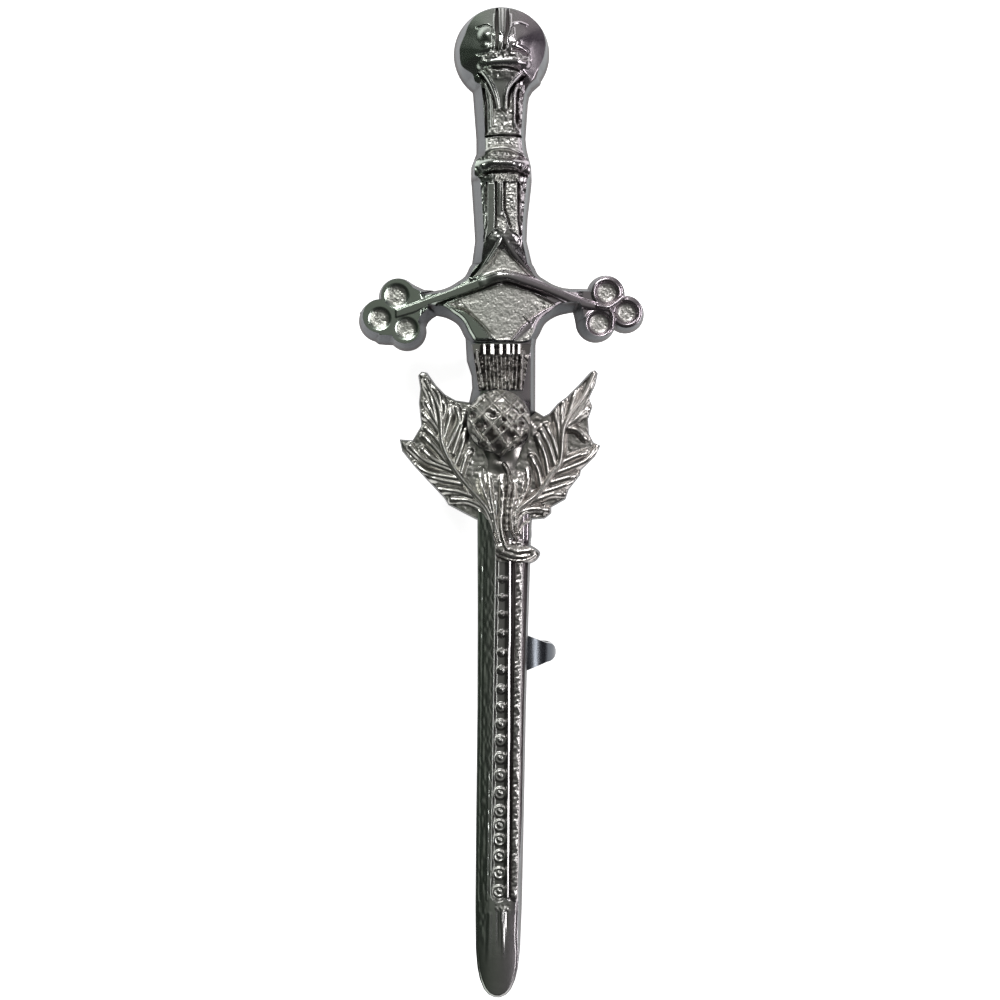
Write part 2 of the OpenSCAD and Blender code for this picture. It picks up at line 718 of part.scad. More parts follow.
// Part of a bent strip, seen along Y, from one angle to the next
module bend(outer_r, w, a0, a1) {
    rotate([90, 0, 0])
        rotate([0, 0, a0])
            translate([0, 0, -w / 2])
                rotate_extrude(angle = a1 - a0, $fn = 64)
                    translate([outer_r - plate_t, 0]) square([plate_t, w]);
}

// Hinge bracket and pin wire in one plain piece
module pin_back() {
    wire_z = plate_t + wire_gap + wire_d / 2;
    block_l = hinge_l * 0.65;
    block_h = wire_z + wire_d;
    point_l = wire_d * 2.4;
    wire_turn = atan2(wire_at_catch(), hinge_y - catch_y);
    color("#b4b6b6") {
        translate([-hinge_w / 2, hinge_y - hinge_l / 2, back_z - seat_gap - plate_t])
            cube([hinge_w, hinge_l, plate_t]);
        translate([-hinge_w / 2, hinge_y - block_l / 2, 0]) {
            cube([hinge_w, block_l, block_h]);
            for (x = [0, hinge_w - plate_t])
                translate([x, 0, 0]) cube([plate_t, block_l, back_z - seat_gap - plate_t / 2]);
        }
        translate([0, hinge_y, wire_z])
            rotate([90, 0, 0])
                rotate([0, wire_turn, 0]) {
                    cylinder(h = wire_l - point_l, d = wire_d);
                    translate([0, 0, wire_l - point_l]) cylinder(h = point_l, d1 = wire_d, d2 = wire_d * 0.15);
                }
    }
}

// The wire rests on the flat of the catch, this far across
function wire_at_catch() = catch_edge_x + catch_reach - (back_z - seat_gap) / 2 - wire_d * 0.75;

front_casting();
catch();
pin_back();
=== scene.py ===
"""Looks of a cast kilt pin: a sword with a thistle spray, lying face up on its catch and hinge.

The front is one casting. It is built here as overlapping closed reliefs, one for each sub-assembly, as a
modeller builds up the wax that such a casting is taken from. Sizes are in millimetres in the casting's own
frame: X across the guard, Y to the pommel, and heights over the flat back.
"""
import logging
import math
from collections.abc import Sequence
from dataclasses import dataclass

import bpy
import numpy as np
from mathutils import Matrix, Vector


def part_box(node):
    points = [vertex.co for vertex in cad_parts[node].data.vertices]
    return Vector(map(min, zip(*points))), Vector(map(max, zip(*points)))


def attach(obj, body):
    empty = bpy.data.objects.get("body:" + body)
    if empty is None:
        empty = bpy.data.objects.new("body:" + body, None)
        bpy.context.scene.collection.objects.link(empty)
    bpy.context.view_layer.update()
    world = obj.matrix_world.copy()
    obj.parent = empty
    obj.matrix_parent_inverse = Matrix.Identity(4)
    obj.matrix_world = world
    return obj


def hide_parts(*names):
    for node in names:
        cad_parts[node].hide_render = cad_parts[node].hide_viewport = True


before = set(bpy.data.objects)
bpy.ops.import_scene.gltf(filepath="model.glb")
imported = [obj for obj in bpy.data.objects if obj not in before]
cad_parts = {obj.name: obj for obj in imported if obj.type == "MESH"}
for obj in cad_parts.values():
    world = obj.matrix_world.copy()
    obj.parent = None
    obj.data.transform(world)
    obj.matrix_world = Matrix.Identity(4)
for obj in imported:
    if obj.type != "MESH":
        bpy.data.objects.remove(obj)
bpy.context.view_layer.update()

log = logging.getLogger("kilt_pin")

MM = 0.001
Pairs = Sequence[tuple[float, float]]
# Name of the colour attribute that carries each point's frosting, painted highlight, painted shade and wall
# share
FINISH_AND_SHADE_MAP = "finish_and_shade_map"


def ease(t: np.ndarray) -> np.ndarray:
    """Smooth rise from 0 to 1 as t goes from 0 to 1."""
    t = np.clip(t, 0, 1)
    return t * t * (3 - 2 * t)


def bell(t: np.ndarray) -> np.ndarray:
    """Smooth bump: 1 at t = 0 and 0 from t = 1 on either side."""
    return np.clip(1 - t * t, 0, 1) ** 2


def half_round(t: np.ndarray) -> np.ndarray:
    """Half-round bump: 1 at t = 0, with upright sides at t = 1."""
    return np.sqrt(np.clip(1 - t * t, 0, 1))


def table(at: np.ndarray, rows: Pairs) -> np.ndarray:
    """Value at each place, eased between rows.

    Args:
        at: Places where the value is wanted.
        rows: Rows of (place, value) with rising places.

    Returns:
        The value at each place.
    """
    places, values = np.array(rows).T
    i = np.clip(np.searchsorted(places, at) - 1, 0, len(places) - 2)
    share = (at - places[i]) / (places[i + 1] - places[i])
    return values[i] + (values[i + 1] - values[i]) * ease(share)


def curve_through(points: Pairs, closed: bool = False, steps: int = 5) -> np.ndarray:
    """Points on a smooth curve through the given ones.

    Args:
        points: Places that the curve passes.
        closed: Whether the curve runs back to its start.
        steps: Points made for each stretch.

    Returns:
        The curve's points, one row each.
    """
    p = np.array(points, float)
    p = np.vstack([p[-1], p, p[:2]]) if closed else np.vstack([2 * p[0] - p[1], p, 2 * p[-1] - p[-2]])
    t = (np.arange(steps) / steps)[:, None]
    out = []
    for a, b, c, d in zip(p, p[1:], p[2:], p[3:]):
        out.append(b + t / 2 * (c - a + t * (2 * a - 5 * b + 4 * c - d + t * (3 * (b - c) + d - a))))
    return np.vstack(out if closed else [*out, p[-2:-1]])


def distance_inside(points: np.ndarray, outline: np.ndarray) -> np.ndarray:
    """Distance from each point to a closed outline.

    Args:
        points: Plan places.
        outline: Corners of the outline in order.

    Returns:
        The distances, positive inside the outline.
    """
    best = np.full(len(points), np.inf)
    odd = np.zeros(len(points), bool)
    x, y = points.T
    for (ax, ay), (bx, by) in zip(outline, np.roll(outline, -1, axis=0)):
        ex, ey = bx - ax, by - ay
        t = np.clip(((x - ax) * ex + (y - ay) * ey) / max(ex * ex + ey * ey, 1e-12), 0, 1)
        best = np.minimum(best, (x - ax - ex * t) ** 2 + (y - ay - ey * t) ** 2)
        if ay != by:
            odd ^= ((ay > y) != (by > y)) & (x < ax + ex * (y - ay) / ey)
    return np.where(odd, 1, -1) * np.sqrt(best)


def lumps(points: np.ndarray, size: float, seed: int) -> np.ndarray:
    """Smooth random field of lumps.

    Args:
        points: Plan places.
        size: Size of the lumps.
        seed: Number of the pattern.

    Returns:
        A value from -1 to 1 at each point.
    """
    values = np.random.default_rng(seed).uniform(-1, 1, (256, 256))
    cell = np.floor(points / size).astype(int)
    fx, fy = ease(points / size - cell).T
    cx, cy = (cell & 255).T
    nx, ny = (cx + 1) & 255, (cy + 1) & 255
    low = values[cx, cy] * (1 - fx) + values[nx, cy] * fx
    high = values[cx, ny] * (1 - fx) + values[nx, ny] * fx
    return low * (1 - fy) + high * fy


def grains(points: np.ndarray, size: float, seed: int) -> np.ndarray:
    """Distance to the nearest of many scattered grains.

    Args:
        points: Plan places.
        size: Spacing of the grains.
        seed: Number of the pattern.

    Returns:
        The distance at each point, as a share of the spacing.
    """
    jitter = np.random.default_rng(seed).uniform(0.15, 0.85, (256, 256, 2))
    cell = np.floor(points / size).astype(int)
    best = np.full(len(points), np.inf)
    for dx in (-1, 0, 1):
        for dy in (-1, 0, 1):
            other = cell + (dx, dy)
            seat = other + jitter[other[:, 0] & 255, other[:, 1] & 255]
            best = np.minimum(best, ((points / size - seat) ** 2).sum(axis=1))
    return np.sqrt(best)


@dataclass
class Wax:
    """The modeller's wax of one relief: plan points with their heights, frosting with painted highlights, and
    painted shade.
    """

    points: np.ndarray
    z: np.ndarray
    frost_and_highlight: np.ndarray
    painted_shade: np.ndarray

    @property
    def x(self) -> np.ndarray:
        """Places across the casting."""
        return self.points[:, 0]

    @property
    def y(self) -> np.ndarray:
        """Places along the casting."""
        return self.points[:, 1]

    def near(self, path: Pairs, reach: float) -> tuple[np.ndarray, np.ndarray, np.ndarray, np.ndarray]:
        """Points near an open path.

        Args:
            path: The path's points.
            reach: How far from the path points are looked for.

        Returns:
            Their numbers, their distance to the path, the share of the path's length where they lie
            nearest, and their signed distance, positive on the left of its direction.
        """
        line = np.array(path, float)
        low, high = line.min(axis=0) - reach, line.max(axis=0) + reach
        chosen = np.nonzero(((self.points >= low) & (self.points <= high)).all(axis=1))[0]
        x, y = self.points[chosen].T
        lengths = np.hypot(*np.diff(line, axis=0).T)
        begun = np.concatenate([[0], np.cumsum(lengths)]) / lengths.sum()
        best, share, side = np.full(len(x), np.inf), np.zeros(len(x)), np.zeros(len(x))
        for k, ((ax, ay), (bx, by)) in enumerate(zip(line, line[1:])):
            ex, ey = bx - ax, by - ay
            t = np.clip(((x - ax) * ex + (y - ay) * ey) / (ex * ex + ey * ey), 0, 1)
            gap = np.hypot(x - ax - ex * t, y - ay - ey * t)
            closer = gap < best
            best = np.where(closer, gap, best)
            share = np.where(closer, begun[k] + t * (begun[k + 1] - begun[k]), share)
            side = np.where(closer, np.sign(ex * (y - ay) - ey * (x - ax)) * gap, side)
        within = best < reach
        return chosen[within], best[within], share[within], side[within]

    def line(self, path: Pairs, width: float, height: float, fade: float = 0.0) -> None:
        """Add a rounded line, or cut a groove where the height is negative.

        Args:
            path: Where the line runs.
            width: Width at its foot.
            height: How far it stands over what it crosses.
            fade: Share of its length over which it dies away at its far end.
        """
        i, gap, share, _ = self.near(path, width / 2)
        fall = ease((1 - share) / fade) if fade else 1
        self.z[i] += height * bell(gap / (width / 2)) * fall

    def roll(
        self, path: Pairs, width: float | Pairs, foot: float, crest: float | Pairs, power: float = 0.8
    ) -> None:
        """Lay a roll that rises to a height of its own.

        Args:
            path: Where the roll runs.
            width: Width at its foot, or rows of (share of the path, width).
            foot: Height that its sides start from.
            crest: Height of its crest, or rows of (share of the path, height).
            power: Fullness of its section: 1 is half round, less is flatter with steeper sides.
        """
        fixed = isinstance(width, (int, float))
        i, gap, share, _ = self.near(path, (width if fixed else max(w for _, w in width)) / 2)
        half = (width if fixed else table(share, width)) / 2
        height = crest if isinstance(crest, (int, float)) else table(share, crest)
        self.z[i] = np.maximum(self.z[i], foot + (height - foot) * half_round(gap / half) ** power)

    def facet(self, path: Pairs, width: float, height: float, slant: float, fade: float = 0.0) -> None:
        """Cut a flat strip that falls away to the right of its direction.

        Args:
            path: Middle of the strip.
            width: Width of the strip.
            height: Height along the middle.
            slant: Fall across the strip for each unit of width.
            fade: Share of its length over which it dies away at its far end.
        """
        i, gap, share, side = self.near(path, width / 2)
        fall = ease((1 - share) / fade) if fade else 1
        self.z[i] += ease((width / 2 - gap) / 0.05) * fall * (height + slant * side - self.z[i])

    def paint_shade(self, share: np.ndarray) -> None:
        """Darken part of the wax with painted shade, as falls in a hollow."""
        self.painted_shade = np.maximum(self.painted_shade, share)

    def bead(self, place: tuple[float, float], radius: float, height: float) -> None:
        """Add a soft round bead to what lies there."""
        gap = np.hypot(self.x - place[0], self.y - place[1]) / radius
        self.z += height * bell(gap)

    def shape(self, outline: Pairs, edge: float) -> np.ndarray:
        """Share from 0 outside an outline to 1 from a given distance inside it."""
        return ease(distance_inside(self.points, np.array(outline)) / edge + 0.5)

    def roughen(
        self, share: np.ndarray, size: float, depth: float, seed: int, frost_and_highlight: float = 1.0, pits: float = 0.45
    ) -> None:
        """Give part of the wax the rough skin of a punched and cast ground.

        Args:
            share: How much of the skin each point takes.
            size: Spacing of the punch marks.
            depth: Height from the pits to the grains.
            seed: Number of the pattern.
            frost_and_highlight: Share of frosting at full skin.
            pits: Share of painted shade in the pits at full skin.
        """
        far = grains(self.points, size, seed)
        punched = 0.45 * (0.55 - far) + 0.3 * lumps(self.points, size * 0.8, seed + 1)
        self.z += share * depth * (punched + 0.35 * lumps(self.points, size * 2.3, seed + 2))
        self.frost_and_highlight = np.maximum(self.frost_and_highlight, share * frost_and_highlight)
        # Painted shade in the punch pits
        self.paint_shade(share * pits * ease((far - 0.45) / 0.3))


@dataclass
class Relief:
    """A cast relief over a plan outline: a flat back, walls that lean in, and a shaped face.

    Subclasses give the outline and the face. The mesh is a grid that is moved onto the outline, the top of
    the wall and any further lines, so that these edges are clean.
    """

    # Spacing of the mesh
    pitch: float = 0.07
    # Height of the walls
    wall_h: float = 1.9
    # Lean of the walls from top to foot
    draft: float = 0.62

    def name(self) -> str:
        """Plain name of the piece."""
        raise NotImplementedError

    def box(self) -> tuple[float, float, float, float]:
        """Lowest x and y, then highest x and y, of the plan."""
        raise NotImplementedError

    def inside(self, points: np.ndarray) -> np.ndarray:
        """Distance inside the outline, positive within it."""
        raise NotImplementedError

    def top(self, points: np.ndarray) -> np.ndarray:
        """Distance inside the top edge of the wall, negative on the wall."""
        return self.inside(points) - self.draft

    def rise(self, points: np.ndarray) -> np.ndarray:
        """Height of the wall beside each point."""
        return np.full(len(points), self.wall_h)

    def edges(self, points: np.ndarray) -> list[np.ndarray]:
        """Further fields whose zero lines the mesh follows."""
        return []

    def finish(self) -> "GunmetalCasting":
        """Finish of the piece."""
        return GunmetalCasting()

    def shape_face(self, wax: Wax, depth: np.ndarray) -> None:
        """Shape the face.

        Args:
            wax: The face, flat at the height of the walls.
            depth: Distance of each point inside the top edge of the wall.
        """
        raise NotImplementedError

    def build(self) -> bpy.types.Object:
        """Mesh the relief and dress it."""
        x0, y0, x1, y1 = self.box()
        margin = 2 * self.pitch
        gx, gy = np.meshgrid(np.arange(x0 - margin, x1 + margin, self.pitch),
                             np.arange(y0 - margin, y1 + margin, self.pitch))
        points = np.column_stack([gx.ravel(), gy.ravel()])
        inside = self.inside(points)
        mark = np.zeros(len(points), int)
        for number, values in enumerate([inside, self.top(points), *self.edges(points)], 1):
            sy, sx = (s.ravel() for s in np.gradient(values.reshape(gx.shape), self.pitch))
            steep = np.maximum(sx * sx + sy * sy, 0.04)
            moved = (mark == 0) & (np.abs(values) <= 0.5 * self.pitch * np.maximum(np.abs(sx), np.abs(sy)))
            mark[moved] = number
            step = (values / steep)[moved, None] * np.column_stack([sx, sy])[moved]
            points[moved] -= np.clip(step, -0.6 * self.pitch, 0.6 * self.pitch)
        outside = (inside < 0) & (mark != 1)
        z, paint = self.heights(points, mark, outside, gx.shape)
        triangles = self.triangles(gx.shape, mark, outside, z)
        return self.mesh(points, z, paint, triangles, mark)

    def heights(
        self, points: np.ndarray, mark: np.ndarray, outside: np.ndarray, grid: tuple[int, int]
    ) -> tuple[np.ndarray, np.ndarray]:
        """Heights, finish and painted shade of all the grid's points.

        Args:
            points: The grid after it was moved onto the edges.
            mark: Number of the edge that each point lies on.
            outside: Points that belong to no face.
            grid: Rows and columns of the grid.

        Returns:
            The height of each point, and its shares of frosting, painted shade and wall.
        """
        used = ~outside
        own = points[used]
        inside = np.where(mark[used] == 1, 0, np.maximum(self.inside(own), 0))
        top = np.where(mark[used] == 2, 0, self.top(own))
        rise = self.rise(own)
        wax = Wax(own, rise.copy(), np.zeros(len(own)), np.zeros(len(own)))
        self.shape_face(wax, np.maximum(top, 0))
        wall = top < 0
        z = np.zeros(len(points))
        z[used] = np.where(wall, rise * inside / np.maximum(inside - top, 1e-6), wax.z)
        paint = np.zeros((len(points), 4))
        paint[used, 0] = np.where(wall, 0, np.clip(wax.frost_and_highlight, 0, 1))
        paint[used, 2] = wall | (mark[used] == 2)
        # Painted shade: darker in hollows and grooves, and wherever a face was painted with shade
        paint[:, 1] = self.hollow_shade(z, used, grid)
        paint[used, 1] = np.maximum(paint[used, 1], np.where(wall, 0, np.clip(wax.painted_shade, 0, 1)))
        paint[:, 3] = 1
        return z, paint

    def hollow_shade(self, z: np.ndarray, used: np.ndarray, grid: tuple[int, int]) -> np.ndarray:
        """How far each point lies below the wax round it, which sets its painted shade.

        Args:
            z: Heights of all the grid's points.
            used: Which of them belong to the relief.
            grid: Rows and columns of the grid.

        Returns:
            A share from 0 on open wax to 1 in a deep groove: the strength of the painted shade there.
        """
        reach = max(2, round(0.32 / self.pitch))
        mass, weight = (z * used).reshape(grid), used.astype(float).reshape(grid)
        for axis in (0, 1):
            mass = sum(np.roll(mass, k, axis) for k in range(-reach, reach + 1))
            weight = sum(np.roll(weight, k, axis) for k in range(-reach, reach + 1))
        return np.clip((mass / np.maximum(weight, 1) - z.reshape(grid)) / 0.3, 0, 1).ravel()

    def triangles(
        self, grid: tuple[int, int], mark: np.ndarray, outside: np.ndarray, z: np.ndarray
    ) -> np.ndarray:
        """Split each cell of the grid along the diagonal that follows an edge, or else the flatter one.

        Args:
            grid: Rows and columns of the grid.
            mark: Number of the edge that each point lies on.
            outside: Points that belong to no face.
            z: Heights of the points.

        Returns:
            Three points for each triangle.
        """
        index = np.arange(grid[0] * grid[1]).reshape(grid)
        a, b, c, d = (s.ravel() for s in (index[:-1, :-1], index[:-1, 1:], index[1:, 1:], index[1:, :-1]))
        on_ac = (mark[a] > 0) & (mark[a] == mark[c])
        on_bd = (mark[b] > 0) & (mark[b] == mark[d])
        flatter = np.abs(z[a] - z[c]) <= np.abs(z[b] - z[d])
        by_ac = np.where(on_ac == on_bd, flatter, on_ac)
        first = np.where(by_ac, np.stack([a, b, c]), np.stack([a, b, d])).T
        second = np.where(by_ac, np.stack([a, c, d]), np.stack([b, c, d])).T
        both = np.vstack([first, second])
        kept = ~outside[both].any(axis=1) & ~(mark[both] == 1).all(axis=1)
        return both[kept]

    def mesh(
        self, points: np.ndarray, z: np.ndarray, paint: np.ndarray, triangles: np.ndarray, mark: np.ndarray
    ) -> bpy.types.Object:
        """Close the face with its flat back and make the piece, crisp along the top of its walls.

        Args:
            points: Plan places of all the grid's points.
            z: Their heights.
            paint: Their finish shares.
            triangles: Faces of the relief.
            mark: Number of the edge that each point lies on.

        Returns:
            The piece, riding on the casting's body in the casting's place.
        """
        kept, corners = np.unique(triangles, return_inverse=True)
        corners = corners.reshape(-1, 3)
        count = len(kept)
        edges = np.vstack([corners[:, [0, 1]], corners[:, [1, 2]], corners[:, [2, 0]]])
        codes = edges[:, 0] * count + edges[:, 1]
        rim = edges[~np.isin(codes, edges[:, 1] * count + edges[:, 0])]
        height = z[kept]
        height[rim.ravel()] = 0
        places = np.column_stack([points[kept], height + CASTING_BACK]) * MM
        backs = [loop[::-1] for loop in closed_loops(rim)]
        piece = mesh_piece(self.name(), places, corners, backs)
        layer = piece.data.color_attributes.new(FINISH_AND_SHADE_MAP, "FLOAT_COLOR", "POINT")
        layer.data.foreach_set("color", paint[kept].ravel().astype(np.float32))
        ends = np.empty(2 * len(piece.data.edges), np.int32)
        piece.data.edges.foreach_get("vertices", ends)
        crisp = (mark[kept] == 2)[ends.reshape(-1, 2)].all(axis=1)
        piece.data.attributes.new("sharp_edge", "BOOLEAN", "EDGE").data.foreach_set("value", crisp)
        piece.data.materials.append(self.finish().material())
        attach(piece, "root")
        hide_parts("front_casting")
        log.info("%s: %d faces", piece.name, len(piece.data.polygons))
        return piece


def closed_loops(edges: np.ndarray) -> list[list[int]]:
    """Chain directed edges into loops that run back to their start.

    Args:
        edges: Two point numbers for each edge.

    Returns:
        The point numbers round each loop.
    """
    following: dict[int, list[int]] = {}
    for a, b in edges.tolist():
        following.setdefault(a, []).append(b)
    loops = []
    while following:
        start = next(iter(following))
        loop, here = [], start
        while here in following:
            loop.append(here)
            ways = following[here]
            here = ways.pop()
            if not ways:
                del following[loop[-1]]
        loops.append(loop)
    return loops


def mesh_piece(
    name: str, places: np.ndarray, triangles: np.ndarray, flats: Sequence[Sequence[int]] = ()
) -> bpy.types.Object:
    """Make a piece from smooth triangles and flat many-sided faces.

    Args:
        name: Name of the piece.
        places: Its points in metres.
        triangles: Three points for each smooth face.
        flats: Points round each flat face.

    Returns:
        The new object, linked to the scene.
    """
    mesh = bpy.data.meshes.new(name)
    sizes = np.array([3] * len(triangles) + [len(f) for f in flats], dtype=np.int32)
    corners = np.concatenate([triangles.ravel(), *[np.array(f) for f in flats]]).astype(np.int32)
    mesh.vertices.add(len(places))
    mesh.vertices.foreach_set("co", places.ravel().astype(np.float32))
    mesh.loops.add(len(corners))
    mesh.loops.foreach_set("vertex_index", corners)
    mesh.polygons.add(len(sizes))
    mesh.polygons.foreach_set("loop_start", np.concatenate([[0], np.cumsum(sizes)[:-1]]).astype(np.int32))
    mesh.polygons.foreach_set("use_smooth", sizes == 3)
    mesh.update(calc_edges=True)
    mesh.validate()
    piece = bpy.data.objects.new(name, mesh)
    bpy.context.scene.collection.objects.link(piece)
    return piece


def low_corner(node: str) -> Vector:
    """Lowest corner of a CAD node in millimetres."""
    return Vector(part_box(node)[0]) / MM


def high_corner(node: str) -> Vector:
    """Highest corner of a CAD node in millimetres."""
    return Vector(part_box(node)[1]) / MM


# Height of the casting's flat back over the surface that the pin lies on
CASTING_BACK = low_corner("front_casting").z
# Top of the pommel and tip of the blade
TOP_Y = high_corner("front_casting").y
TIP_Y = low_corner("front_casting").y


def srgb(code: str) -> tuple[float, float, float, float]:
    """Linear colour of an sRGB hex value."""
    parts = [int(code[i : i + 2], 16) / 255 for i in (1, 3, 5)]
    linear = [c / 12.92 if c <= 0.04045 else ((c + 0.055) / 1.055) ** 2.4 for c in parts]
    return (*linear, 1.0)


def add_node(
    tree: bpy.types.NodeTree, kind: str, inputs: dict[str | int, object] | None = None, **settings: object
) -> bpy.types.Node:
    """Add a node with its settings and links.

    Args:
        tree: The material's or world's node tree.
        kind: Blender's name for the kind of node.
        inputs: A value or a linked socket for each named or numbered input.
        settings: Properties of the node.

    Returns:
        The new node.
    """
    node = tree.nodes.new(kind)
    for key, value in settings.items():
        setattr(node, key, value)
    for key, value in (inputs or {}).items():
        if isinstance(value, bpy.types.NodeSocket):
            tree.links.new(value, node.inputs[key])
        else:
            node.inputs[key].default_value = value
    return node


def new_material(name: str) -> tuple[bpy.types.Material, bpy.types.NodeTree, bpy.types.Node]:
    """An empty node material with its output node."""
    made = bpy.data.materials.new(name)
    made.use_nodes = True
    made.node_tree.nodes.clear()
    return made, made.node_tree, add_node(made.node_tree, "ShaderNodeOutputMaterial")


@dataclass(frozen=True)
class GunmetalCasting:
    """Zinc alloy, sand cast, barrel polished and plated with black nickel.

    The eye sees near-black mirrors on all that the polishing stones reached, pale frosted grounds in the
    hollows that they missed, and flat grey walls that still have the skin of the mould.
    """

    label: str = "black_nickel_on_polished_zinc_casting"
    # Painted reflection: the polished tone goes from greenish to violet across the pin, as the room's sides
    # reflect in it
    polished: tuple[str, str] = ("#a5afa4", "#b4aab1")
    reflection_tint_mm: float = 5.0
    frosted: str = "#cfcec7"
    wall: str = "#6c6e70"
    # Painted shade in the grooves and hollows
    groove: str = "#3a3231"
    # Spacing of the grit marks that the frosting and the mould leave
    frost_grit_mm: float = 0.16
    wall_grit_mm: float = 0.22
    # Length of the shallow waves that hand polishing leaves
    wave_mm: float = 1.7
    # Roughness where it was polished, from bright to cloudy, and on frosting, walls and the painted shade
    polished_rough: tuple[float, float] = (0.2, 0.3)
    frost_rough: float = 0.5
    wall_rough: float = 0.5
    shade_rough: float = 0.45
    # Share of the painted shade in the deepest groove
    groove_shade: float = 0.75
    # Strength of the grit from polished to matt, and its depth
    grit_strength: tuple[float, float] = (0.04, 0.45)
    grit_depth_mm: float = 0.06
    # Dents beside the polishing waves: their length as a share of a wave, strength and depth
    dent_share: float = 0.4
    dent_strength: float = 0.12
    dent_depth_mm: float = 0.1

    def material(self) -> bpy.types.Material:
        """The finish as a material, made once."""
        if self.label in bpy.data.materials:
            return bpy.data.materials[self.label]
        made, tree, out = new_material(self.label)
        shares = add_node(tree, "ShaderNodeAttribute", attribute_name=FINISH_AND_SHADE_MAP)
        split = add_node(tree, "ShaderNodeSeparateColor", {"Color": shares.outputs["Color"]})
        # Shares of frosting with painted highlights, of painted shade in hollows, and of wall
        frost_and_highlight, hollow, wall = (split.outputs[k] for k in ("Red", "Green", "Blue"))
        place = add_node(tree, "ShaderNodeTexCoord").outputs["Object"]
        spacings = (self.frost_grit_mm, self.wall_grit_mm, self.wave_mm, self.wave_mm * self.dent_share)
        frost_grit, wall_grit, clouds, dents = (
            add_node(tree, "ShaderNodeTexNoise", {"Vector": place, "Scale": 1 / (s * MM)}).outputs["Fac"]
            for s in spacings
        )
        # Painted shade, strongest in the deepest grooves
        shaded = add_node(
            tree, "ShaderNodeMath", {0: hollow, 1: self.groove_shade}, operation="MULTIPLY",
        ).outputs[0]
        # Painted reflection tint, from the left of the pin to its right
        across = add_node(tree, "ShaderNodeSeparateXYZ", {0: place}).outputs["X"]
        half = self.reflection_tint_mm / 2 * MM
        reflection_tint = add_node(tree, "ShaderNodeMapRange", {0: across, 1: -half, 2: half}).outputs[0]
        green, violet = self.polished
        colour = srgb(green)
        # Tones in turn: painted reflection tint, frosting (also painted highlights), walls, and painted shade
        # in the hollows
        tones = ((reflection_tint, violet), (frost_and_highlight, self.frosted), (wall, self.wall), (shaded, self.groove))
        for share, tone in tones:
            mixed = add_node(tree, "ShaderNodeMix", {0: share, 6: colour, 7: srgb(tone)}, data_type="RGBA")
            colour = mixed.outputs[2]
        low, high = self.polished_rough
        rough = add_node(tree, "ShaderNodeMapRange", {0: clouds, 3: low, 4: high}).outputs[0]
        for share, value in ((frost_and_highlight, self.frost_rough), (wall, self.wall_rough), (shaded, self.shade_rough)):
            rough = add_node(tree, "ShaderNodeMix", {0: share, 2: rough, 3: value}).outputs[0]
        grit = add_node(tree, "ShaderNodeMix", {0: wall, 2: frost_grit, 3: wall_grit}).outputs[0]
        matt = add_node(tree, "ShaderNodeMath", {0: frost_and_highlight, 1: wall}, operation="MAXIMUM").outputs[0]
        smooth, coarse = self.grit_strength
        strength = add_node(tree, "ShaderNodeMapRange", {0: matt, 3: smooth, 4: coarse}).outputs[0]
        bump = add_node(tree, "ShaderNodeBump", {
            "Strength": strength, "Distance": self.grit_depth_mm * MM, "Height": grit,
        })
        waves = add_node(tree, "ShaderNodeBump", {
            "Strength": self.dent_strength, "Distance": self.dent_depth_mm * MM, "Height": dents,
            "Normal": bump.outputs[0],
        })
        shader = add_node(tree, "ShaderNodeBsdfPrincipled", {
            "Base Color": colour, "Metallic": 1.0, "Roughness": rough, "Normal": waves.outputs[0],
        })
        tree.links.new(shader.outputs[0], out.inputs["Surface"])
        return made


# The guard's walls are a darker grey than those of hilt and blade: painted shade
GUARD_SHADED_WALLS = GunmetalCasting(label="black_nickel_on_the_guard_with_shaded_walls", wall="#56585b")
# The spray's polished tone is lighter than the sword's, with less of the painted reflection tint
SPRAY_PLATING = GunmetalCasting(label="black_nickel_rubbed_on_the_spray", polished=("#b4b4ae", "#b9b3b1"))


@dataclass(frozen=True)
class NickelSteel:
    """Mild steel strip and wire, bent cold and plated with black nickel: a smooth slate grey mirror."""

    label: str = "black_nickel_on_bent_steel"
    colour: str = "#585b60"
    # Drawing marks along the strip and wire
    scratch_mm: float = 0.12

    def material(self) -> bpy.types.Material:
        """The finish as a material, made once."""
        if self.label in bpy.data.materials:
            return bpy.data.materials[self.label]
        made, tree, out = new_material(self.label)
        place = add_node(tree, "ShaderNodeTexCoord").outputs["Object"]
        drawn = add_node(tree, "ShaderNodeMapping", {"Vector": place, "Scale": (1.0, 0.08, 1.0)}).outputs[0]
        marks = add_node(tree, "ShaderNodeTexNoise", {
            "Vector": drawn, "Scale": 1 / (self.scratch_mm * MM), "Detail": 2.0,
        }).outputs["Fac"]
        rough = add_node(tree, "ShaderNodeMapRange", {0: marks, 3: 0.18, 4: 0.34}).outputs[0]
        bump = add_node(tree, "ShaderNodeBump", {"Strength": 0.12, "Distance": 0.02 * MM, "Height": marks})
        shader = add_node(tree, "ShaderNodeBsdfPrincipled", {
            "Base Color": srgb(self.colour), "Metallic": 1.0, "Roughness": rough, "Normal": bump.outputs[0],
        })
        tree.links.new(shader.outputs[0], out.inputs["Surface"])
        return made


@dataclass(frozen=True)
class LightTable:
    """Opal acrylic sheet lit from below: the white, shadowless ground of a product picture."""

    label: str = "backlit_opal_acrylic"
    colour: str = "#f4f4f4"
    glow: float = 1.0

    def material(self) -> bpy.types.Material:
        """The finish as a material."""
        made, tree, out = new_material(self.label)
        shader = add_node(tree, "ShaderNodeBsdfPrincipled", {
            "Base Color": srgb(self.colour), "Roughness": 0.8,
            "Emission Color": srgb(self.colour), "Emission Strength": self.glow,
        })
        tree.links.new(shader.outputs[0], out.inputs["Surface"])
        return made


